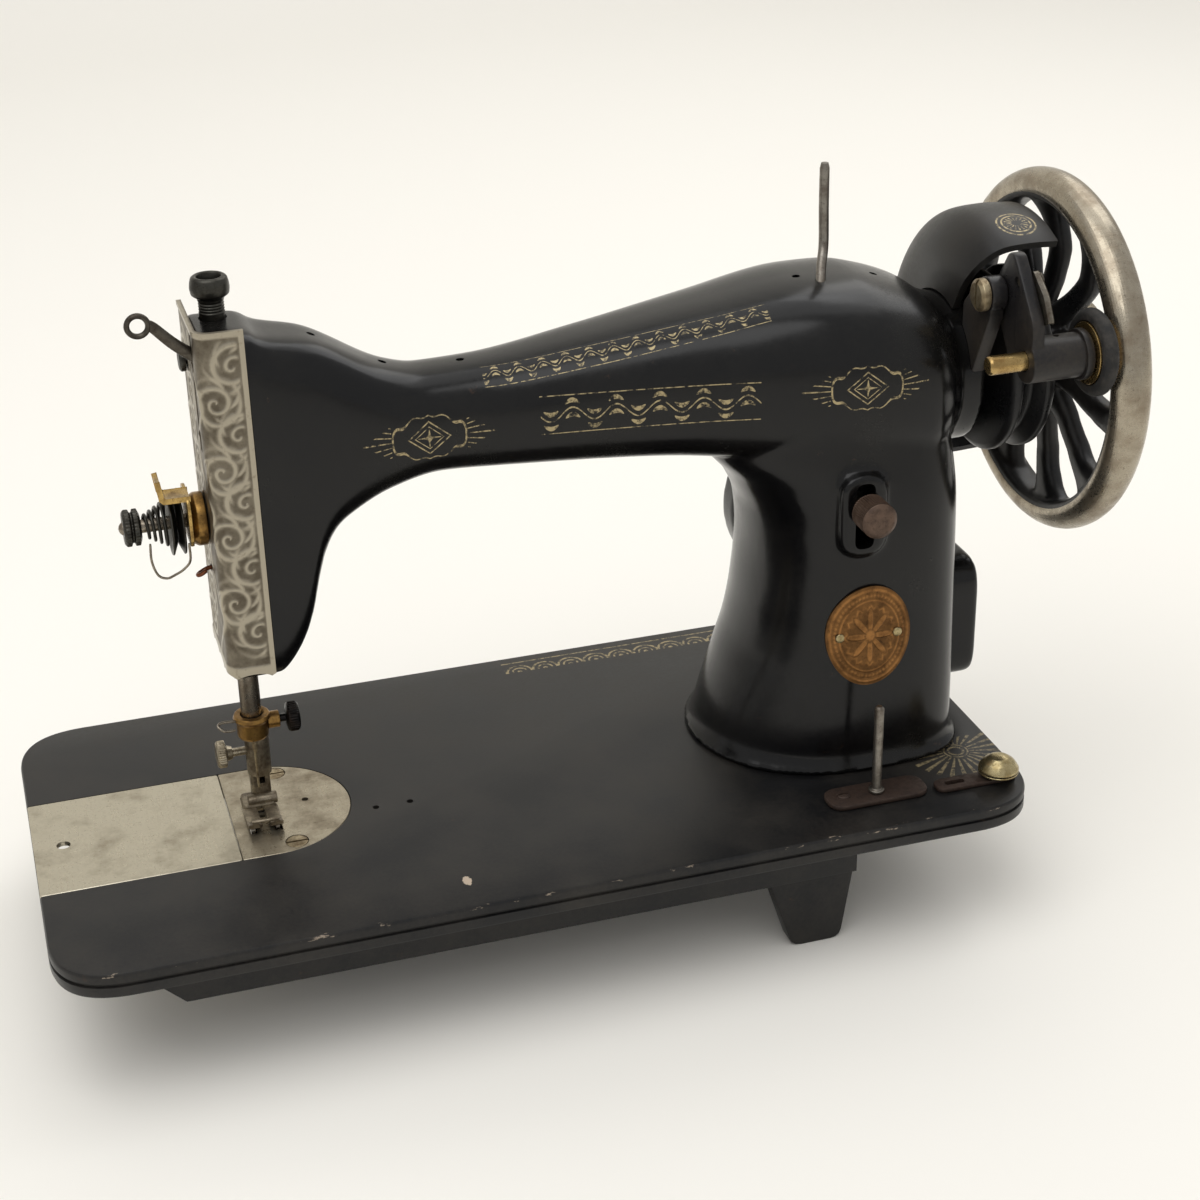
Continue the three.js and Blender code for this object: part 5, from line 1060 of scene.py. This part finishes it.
fitted(solid("belt_guard_spun", guard()), japan("guard black japan, dusty", "101011", "26231f", guard_gold,
                                                (0.26, 0.44)), "belt_guard", sharp=50)

# ---- bobbin winder ----
# An iron frame swings on a large slotted screw and presses a rubber-tyred pulley against the handwheel's
# tread. A brass spindle runs in its barrel, and a sprung steel latch stops it when the bobbin is full.
WINDER, PIVOT, LATCH = (-56.0, 163.5), (-36.0, 183.0), (-47.0, 190.0)
winder_japan = japan("winder black japan, rubbed", "1a191a", "39332c", None, (0.26, 0.44))
bracket_outline = [[-14, 171], [-31, 188], [-41, 186], [-40, 175], [-27, 148], [-14, 150]]
bracket = joined(plate(bracket_outline, "x", 357.5, 363.5, 1.2), rod("x", 357.5, 363.5, 6.5, PIVOT, 0.8))
fitted(machined(solid("winder_bracket_cast", bracket),
                rod("x", 340, 380, BOSS + 0.3, (0, SHAFT_Z), 0.01, 96),
                box((340, 400), (-19, 40), (100, 200)), rod("x", 340, 380, 2.8, PIVOT, 0.01)), winder_japan,
       "winder_bracket")
sheet_outline = soften([[-62, 163.5], [-61, 178], [-50, 192], [-43.5, 199.5], [-39, 199], [-33, 190],
                        [-29.5, 184], [-32, 176], [-45, 158], [-56, 156.5]], 3.0, True, 6)[::-1]
collar = [[384.5, 5], [384.5, 9.4], [387.5, 9.4], [387.5, 5]]
frame_parts = joined(plate(sheet_outline, "x", 364, 369, 0.9), rod("x", 364, 387.5, 8.2, WINDER, 0.9, 64),
                     turned(collar, "x", WINDER, 0.5, 64, True))
fitted(machined(solid("winder_frame_cast", frame_parts), rod("x", 340, 400, 3.8, WINDER, 0.01),
                rod("x", 340, 380, 2.8, PIVOT, 0.01), rod("x", 340, 380, 2.1, LATCH, 0.01),
                rod("z", 166, 180, 1.1, (376, -56), 0.01)), winder_japan, "winder_frame")
tyre_from, tyre_to = 388.1, 394.5
spindle = [[349.5, 0], [349.5, 2.9], [350.5, 3.5], [tyre_from, 3.5], [tyre_from, 11.4], [tyre_to, 11.4],
           [tyre_to, 3.5], [395.5, 3.5], [395.5, 0]]
fitted(solid("winder_spindle_brass", turned(spindle, "x", WINDER, 0.4, 48)),
       steel("brass spindle, bright", "b59a66", "75572f", (0.2, 0.36), 9), "winder_spindle")


def rubber(name):
    """Old black rubber: matt, greyed, with fine cracks that lie as dark lines in its bump."""
    material, tree, shader, place = blank(name)
    bloom = grain(tree, place, 5, 4, rough=0.7)
    cracks = grain(tree, place, 1.6, 5, (5, 1, 1), 0.75)
    tone = blend(tree, between(tree, bloom, 0.4, 0.7), colour("161514"), colour("37332e"))
    bump = add(tree, "ShaderNodeBump", {"Height": cracks, "Strength": 0.6, "Distance": 0.00015})
    tree.links.new(tone, shader.inputs["Base Color"])
    tree.links.new(bump.outputs[0], shader.inputs["Normal"])
    shader.inputs["Roughness"].default_value = 0.78
    return material


tyre = [[388.5, 11.7], [388.5, 14.4], [390.1, 16], [392.5, 16], [394.1, 14.4], [394.1, 11.7]]
fitted(solid("winder_tyre_rubber", turned(tyre, "x", WINDER, 0.7, 80, True)), rubber("black rubber"),
       "winder_tyre")
pivot_screw = [[353.6, 0], [353.6, 4.6], [354.6, 6], [357.2, 6], [357.2, 2.5], [368.8, 2.5], [368.8, 0]]
slotted("winder_pivot_screw", "winder_screw", pivot_screw, "x", PIVOT,
        box((352.6, 354.6), (-36.6, -35.4), (170, 200)), screw_nickel)
latch_outline = soften([[-43, 191], [-48, 194], [-57, 187], [-62, 178.5], [-58.5, 177.5], [-53, 184],
                        [-46, 186]], 1.5, True, 6)
latch_rivet = [[371.8, 0], [371.8, 3.2], [373.4, 2.6], [373.6, 0]]
latch = joined(plate(latch_outline[::-1], "x", 369.3, 371.7, 0.4), rod("x", 365, 373.3, 1.8, LATCH),
               turned(latch_rivet, "x", LATCH, 0.3, 32))
fitted(solid("winder_latch_sprung", latch), grey_steel, "winder_latch")
wire_path = [[372.6, -47, 190], [372.8, -44, 184], [372.4, -41, 176], [371.6, -47, 171.6],
             [370.6, -52, 170.4]]
spring = solid("winder_latch_spring", pipe(wire_path, 0.6, (1, 0, 0.2)))
fitted(spring, grey_steel, "winder_frame")

# ---- spool pins and bobbin thread tension ----
# Dull steel pins hold the thread: a bent one driven into the arm and a straight one on the bed, riveted to
# an iron plate that has rusted brown. Beside it two brass discs on a slotted strip tension the thread.
LOWER_PIN = (308.0, -67.0)
pin_radius = [1.85, 1.85, 1.85, 1.85, 1.85, 1.8]
pin_steel = steel("pin steel, dull", "87827a", "4c4034", (0.32, 0.48), 7)
fitted(solid("spool_pin_bent", pipe(pin_path, pin_radius, (0, 1, 0), 1.0, 20)), pin_steel, "spool_pin")
rusted = steel("rusted iron plate", "3f3129", "261b16", (0.5, 0.7), 3, 0.4)
base_plate = plate(rounded(288, 328, -73.5, -59.5, 6.9, 12), "z", 0.3, 2.2, 0.5)
fitted(machined(solid("bobbin_base_plate_stamped", base_plate), rod("z", -1, 5, 2.0, LOWER_PIN, 0.01)),
       rusted, "bobbin_base_plate")
screw_head = [[1.4, 0], [1.4, 2.8], [2.9, 2.5], [3.3, 0]]
base_screw = machined(solid("bobbin_base_screw", turned(screw_head, "z", (295, -66), 0.3, 32)),
                      box((292, 298), (-66.4, -65.6), (2.6, 4)))
fitted(base_screw, rusted, "bobbin_base_plate")
pin_profile = [[2.3, 0], [2.3, 1.8], [2.6, 3], [3.6, 3], [3.9, 1.8], [38, 1.8], [39, 1.1], [39, 0]]
fitted(solid("lower_spool_pin_turned", turned(pin_profile, "z", LOWER_PIN, 0.2, 32)), pin_steel,
       "lower_spool_pin")
DISCS = (357.0, -70.5)
bracket_strip = plate(rounded(331, 364, -74, -66, 3.9, 12), "z", 0.3, 2, 0.4)
fitted(machined(solid("bobbin_bracket_stamped", bracket_strip),
                plate(rounded(335, 343, -71.4, -68.8, 1.2, 7), "z", -1, 5, 0.01),
                rod("z", -1, 5, 1.8, DISCS, 0.01)), rusted, "bobbin_bracket")
disc_brass = steel("brass discs, pale", "b3a57e", "776238", (0.24, 0.42), 5)
dished = [[3.2, 1.8], [2.3, 3.4], [3.6, 7.7], [4.3, 7.7], [3.4, 3.4], [4.2, 1.8]]
fitted(solid("bobbin_disc_lower_pressed", turned(dished, "z", DISCS, 0.3, 56, True)), disc_brass,
       "bobbin_disc_lower")
domed = [[0.4, 0], [0.4, 1.5], [5.2, 1.5], [5.2, 3.4], [4.6, 7.7], [5.6, 7.7], [8.2, 6], [10, 3.4],
         [10.6, 0]]
fitted(solid("bobbin_disc_upper_domed", turned(domed, "z", DISCS, 0.5, 56)), disc_brass,
       "bobbin_disc_upper")

# ---- stitch length lever, badge and rear cover ----
# The lever's stem comes through the pillar's slot and carries a brown, rusted knob. Below it a thin brass
# oval is pinned to the pillar; it bears a stamped border and a plain ornament. A nickelled oval cover closes
# the opening behind, held by one screw.
STITCH_LEVER = (STITCH_X, 110.5)
fitted(solid("stitch_lever_stem", joined(rod("y", -57.5, -32, 3, STITCH_LEVER),
                                         plate(rounded(303, 315, 103.5, 117.5, 2), "y", -34, -31.5, 0.3))),
       grey_steel, "stitch_lever")
stitch_knob = knurled([[-59.9, 0], [-59.9, 5.2], [-58.9, 6.8], [-49.2, 6.8], [-48.6, 5], [-46.2, 5],
                       [-46.2, 3.3], [-57.8, 3.3], [-57.8, 0]], "y", STITCH_LEVER, -58.7, -49.4, 44, 0.3)
fitted(solid("stitch_length_knob_knurled", stitch_knob), steel("rusted steel knob", "5b483b", "35271f",
                                                               (0.42, 0.62), 4, 0.5), "stitch_length_knob")
BADGE = (312.6, 57.5)
COVER_SCREW = (309.0, 100.0)


def badge_relief(x, z):
    """Stamped height over the oval: a beaded line near the edge, an inner line and an eight-rayed flower."""
    across, up = (x - BADGE[0]) / 16.3, (z - BADGE[1]) / 20.3
    reach, turn = np.hypot(across, up), np.arctan2(across, up)
    edge = np.exp(-(((reach - 0.93) / 0.03) ** 2))
    beads = np.exp(-(((reach - 0.82) / 0.03) ** 2)) * (0.5 + 0.5 * np.cos(56 * turn)) ** 0.6
    line = np.exp(-(((reach - 0.72) / 0.018) ** 2))
    petals = np.clip((0.34 + 0.22 * np.cos(8 * turn) - reach) / 0.04, 0, 1)
    ring = np.exp(-(((reach - 0.13) / 0.03) ** 2))
    leaf_line = 0.58 + 0.03 * np.cos(24 * turn)
    leaves = np.exp(-(((reach - leaf_line) / 0.03) ** 2)) * (0.6 + 0.4 * np.cos(12 * turn))
    return np.maximum.reduce([edge, beads, line, petals * (1 - 0.8 * ring), leaves])


reach = np.linspace(0.02, 1, 64)[:, None]
turn = np.linspace(0, 2 * np.pi, 193)[:-1]
x = BADGE[0] + 16.4 * reach * np.sin(turn)
z = BADGE[1] + 20.4 * reach * np.cos(turn)
stamped = badge_relief(x, z)
face = np.stack([x, face_of_pillar(x, z, 1.15) - 0.22 * stamped * (reach < 0.98), z], -1)
back = np.stack([x, face_of_pillar(x, z, 0.35), z], -1)[::-1]
relief = np.concatenate([stamped, 0 * stamped]).ravel()
badge_brass = steel("badge brass, red with age", "94693d", "563b22", (0.3, 0.46), 6)
tree = badge_brass.node_tree
high = add(tree, "ShaderNodeAttribute", attribute_name="relief").outputs["Fac"]
shader = tree.nodes["Principled BSDF"]
plain = shader.inputs["Base Color"].links[0].from_socket
tree.links.new(blend(tree, between(tree, high, 0, 0.8, 0.55, 0.0), plain, colour("2c2116")),
               shader.inputs["Base Color"])
fitted(solid("badge_stamped", skin(np.concatenate([face, back])), relief), badge_brass, "badge", sharp=50)
for side, x in zip(("left", "right"), PINS_X):
    near = float(face_of_pillar(np.array([x]), np.array([PINS_Z]), 1.2)[0])
    fitted(solid(f"badge_pin_{side}", turned([[near + 4, 0], [near + 4, 1.2], [near, 1.2], [near, 1.9],
                                              [near - 0.6, 1.7], [near - 1, 0]], "y", (x, PINS_Z), 0.2, 24)),
           disc_brass, "badge")
oval = np.stack([COVER[0] + 20 * np.cos(angle), COVER[1] + 27 * np.sin(angle)], 1)
fitted(machined(solid("rear_cover_stamped", plate(oval, "y", 46.5, 48.1, 0.5)),
                rod("y", 40, 60, 2.1, COVER_SCREW, 0.01)),
       nickel("nickel cover, tarnished", "a59b88", "776751", (0.28, 0.46), (0.44, 0.66), 9), "rear_cover")
slotted("rear_cover_round_screw", "rear_cover_screw",
        [[40.2, 0], [40.2, 1.8], [48.4, 1.8], [48.4, 4], [49.2, 3.7], [50.1, 2.6], [50.1, 0]], "y",
        COVER_SCREW, box((303, 315), (49.4, 51), (99.5, 100.5)), grey_steel)

# ---- shuttle and its shaft under the bed ----
# A fixed steel race holds the hook, a bright steel cup that rocks round the bobbin in its nickelled case. A
# steel shaft in the bed's hangers rocks it, from an arm that the long rod moves.
race = joined(turned([[78, 17.5], [78, 23], [92, 23], [92, 17.5]], "x", (0, SHUTTLE_Z), 0.6, 96, True),
              box((78.4, 91.6), (-9, 9), (-56, -51.5)),
              *[box((78, 92), (side * 23.9 - 2.6, side * 23.9 + 2.6),
                    (SHUTTLE_Z - 3, -4.9)) for side in (-1, 1)])
fitted(machined(solid("shuttle_race_machined", race), rod("x", 77, 93, 17.5, (0, SHUTTLE_Z), 0.01, 96),
                rod("z", -28, 0, 2.6, NEEDLE, 0.01)), dark_steel, "shuttle_race")
cup = turned([[70.4, 0], [70.4, 2.4], [88, 2.4], [88, 12.5], [79, 12.5], [79, 17.2], [91, 17.2], [91, 0]],
             "x", (0, SHUTTLE_Z), 0.3, 96)
bright = steel("hook steel, bright", "9a9488", "5a4a3a", (0.2, 0.36), 7)
fitted(machined(solid("shuttle_hook_ground", cup), box((78, 87), (4, 30), (SHUTTLE_Z + 2, SHUTTLE_Z + 30))),
       bright, "shuttle_hook")
case = [[71, 2.7], [71, 11], [72, 12.1], [86.5, 12.1], [86.5, 11.2], [72.2, 11.2], [72.2, 2.7]]
fitted(solid("bobbin_case_drawn", turned(case, "x", (0, SHUTTLE_Z), 0.2, 80, True)), screw_nickel,
       "bobbin_case")
reel = [[72.8, 2.7], [72.8, 10.6], [73.8, 10.6], [73.8, 4], [86, 4], [86, 10.6], [87, 10.6], [87, 2.7]]
fitted(solid("bobbin_turned", turned(reel, "x", (0, SHUTTLE_Z), 0.2, 72, True)), bright, "bobbin")
rocker = joined(rod("x", 91.4, 95, 12, (0, SHUTTLE_Z), 0.5, 56),
                rod("x", 94, 101, 7, (0, SHUTTLE_Z), 0.5, 40),
                rod("x", 94, 296, 4.5, (0, SHUTTLE_Z), 0.5, 40),
                rod("x", 290.7, 296.6, 8, (0, SHUTTLE_Z), 0.6, 48),
                plate(rounded(-21, 0, SHUTTLE_Z - 5, SHUTTLE_Z + 5, 4.9), "x", 290.7, 296.6, 0.6),
                rod("x", 295, 303.6, 2, ROD_PIN, 0.3))
fitted(solid("hook_shaft_turned", rocker), grey_steel, "hook_shaft")

# ---- feed under the needle plate ----
# A second shaft rocks an arm whose pin swings the forged feed bar; the toothed dog is screwed to the bar's
# end and its rows rise through the needle plate's slots.
AT_Y, AT_Z = FEED_SHAFT
PIN_Z = -14.0
DOG_FRONT, DOG_BACK = -12.5, 8.5
TOOTH = 1.1  # from one tooth of the dog to the next
rock = joined(rod("x", 92.6, 300, 4, FEED_SHAFT, 0.5, 40),
              plate([[AT_Y - 4.5, AT_Z], [AT_Y + 4.5, AT_Z], [AT_Y + 3, PIN_Z], [AT_Y - 3, PIN_Z]], "x", 93,
                    96.6, 0.4),
              rod("x", 93, 96.6, 7, FEED_SHAFT, 0.5, 40), rod("x", 93, 96.6, 4, (AT_Y, PIN_Z), 0.4),
              rod("x", 94, 103.8, 1.8, (AT_Y, PIN_Z)))
fitted(solid("feed_rock_shaft_turned", rock), grey_steel, "feed_rock_shaft")
bar_side = [[AT_Y, PIN_Z - 3.4], [AT_Y, PIN_Z + 3.4], [20, -8.2], [13, -3.4], [-14, -3.4], [-14, -8],
            [14, -8], [20, -13]]
bar = joined(plate(bar_side[::-1], "x", 97, 103, 0.5), rod("x", 97, 103, 4.4, (AT_Y, PIN_Z), 0.5))
fitted(machined(solid("feed_bar_forged", bar), rod("x", 90, 110, 2.1, (AT_Y, PIN_Z), 0.01)), grey_steel,
       "feed_bar")
rows = []
for row in (-ROW_STEP, 0.0, ROW_STEP):
    front = 1.0 if row == 0 else DOG_FRONT
    middle = NEEDLE[0] + row
    teeth = np.arange(front, DOG_BACK - 0.9, TOOTH)
    top = np.stack([np.repeat(teeth, 2) + np.tile([0.0, TOOTH / 2], len(teeth)),
                    np.tile([-1.1, -0.3], len(teeth))], 1)
    outline = np.concatenate([[[front, -4]], top, [[DOG_BACK, -1.1], [DOG_BACK, -4]]])[::-1]
    rows.append(plate(outline, "x", middle - 0.8, middle + 0.8, 0.08))
dog = joined(box((79, 96.7), (DOG_FRONT, DOG_BACK), (-6.5, -3.6)), *rows)
fitted(machined(solid("feed_dog_toothed", dog), rod("z", -20, 0, 2.7, NEEDLE, 0.01)), bright, "feed_dog")

# ---- floor, light and camera ----
# The machine stands on a cream paper sheet that runs up behind it in one bend. Three large soft lamps and a
# pale sky light it, and the camera looks down at its front from a little to the left.


def paper():
    """Cream paper: a matt surface that takes a soft shadow."""
    material = bpy.data.materials.new("cream paper")
    material.use_nodes = True
    tree = material.node_tree
    shader = tree.nodes["Principled BSDF"]
    shader.inputs["Base Color"].default_value = colour("f2efe8")
    shader.inputs["Roughness"].default_value = 0.9
    shader.inputs["Specular IOR Level"].default_value = 0.1
    return material


FLOOR_HALF, FLOOR_FRONT, FLOOR_BACK = 6.0, -4.0, 1.6  # metres; the bend starts at the back
FLOOR_BEND, FLOOR_TOP = 0.8, 3.4
bend = np.linspace(0, np.pi / 2, 16)
curve = np.stack([FLOOR_BACK + FLOOR_BEND * np.sin(bend), FLOOR_BEND - FLOOR_BEND * np.cos(bend)], 1)
run = np.concatenate([[[FLOOR_FRONT, 0.0]], curve, [[FLOOR_BACK + FLOOR_BEND, FLOOR_TOP]]])
sides = np.stack([np.column_stack([np.full(len(run), side), run]) for side in (-FLOOR_HALF, FLOOR_HALF)])
count = len(run)
strips = [[i, i + count, i + count + 1, i + 1] for i in range(count - 1)]
sheet = bpy.data.meshes.new("floor_sheet")
sheet.from_pydata(sides.reshape(-1, 3).tolist(), [], strips)
sheet.shade_smooth()
sheet.materials.append(paper())
floor = bpy.data.objects.new("floor_sheet", sheet)
bpy.context.scene.collection.objects.link(floor)

world = bpy.data.worlds.new("pale sky")
bpy.context.scene.world = world
world.use_nodes = True
tree = world.node_tree
tree.nodes.clear()
sky = add(tree, "ShaderNodeBackground", {"Color": colour("ffffff"), "Strength": 0.64})
add(tree, "ShaderNodeOutputWorld", {"Surface": sky.outputs[0]})

for name, size, power, where, aim in (("lamp over the head", 1.3, 11, (-0.5, -0.5, 1.5), (0, 0, 0.1)),
                                      ("lamp behind the wheel", 1.0, 5, (0.9, 0.7, 1.3), (0, 0, 0.15)),
                                      ("lamp on the rising sheet", 2.4, 14, (0.2, 1.0, 2.6),
                                       (0.4, 2.3, 0.2))):
    lamp = bpy.data.lights.new(name, "AREA")
    lamp.shape = "SQUARE"
    lamp.size = size
    lamp.energy = power
    hung = bpy.data.objects.new(name, lamp)
    bpy.context.scene.collection.objects.link(hung)
    away = np.array(where, float) - aim
    back = away / np.linalg.norm(away)
    right = np.cross([0, 0, 1.0], back)
    right /= np.linalg.norm(right)
    turned_to = np.stack([right, np.cross(back, right), back]).T
    hung.matrix_world = Matrix([[*row, at] for row, at in zip(turned_to, where)] + [[0, 0, 0, 1]])

YAW, PITCH, ROLL = math.radians(16.64), math.radians(26.286), math.radians(-1.361)
CAMERA_AT = (-0.2066, -0.7206, 0.4938)
lens = bpy.data.cameras.new("front camera")
lens.sensor_width = 36
lens.lens = 65.97
lens.clip_start, lens.clip_end = 0.01, 50
camera = bpy.data.objects.new("front camera", lens)
bpy.context.scene.collection.objects.link(camera)
ahead = np.array([math.sin(YAW) * math.cos(PITCH), math.cos(YAW) * math.cos(PITCH), -math.sin(PITCH)])
across = np.array([math.cos(YAW), -math.sin(YAW), 0])
above = np.cross(across, ahead)
tilted = math.cos(ROLL) * across + math.sin(ROLL) * above
upright = -math.sin(ROLL) * across + math.cos(ROLL) * above
turned_to = np.stack([tilted, upright, -ahead]).T
camera.matrix_world = Matrix([[*row, at] for row, at in zip(turned_to, CAMERA_AT)] + [[0, 0, 0, 1]])
bpy.context.scene.camera = camera
bpy.context.scene.view_settings.view_transform = "Standard"
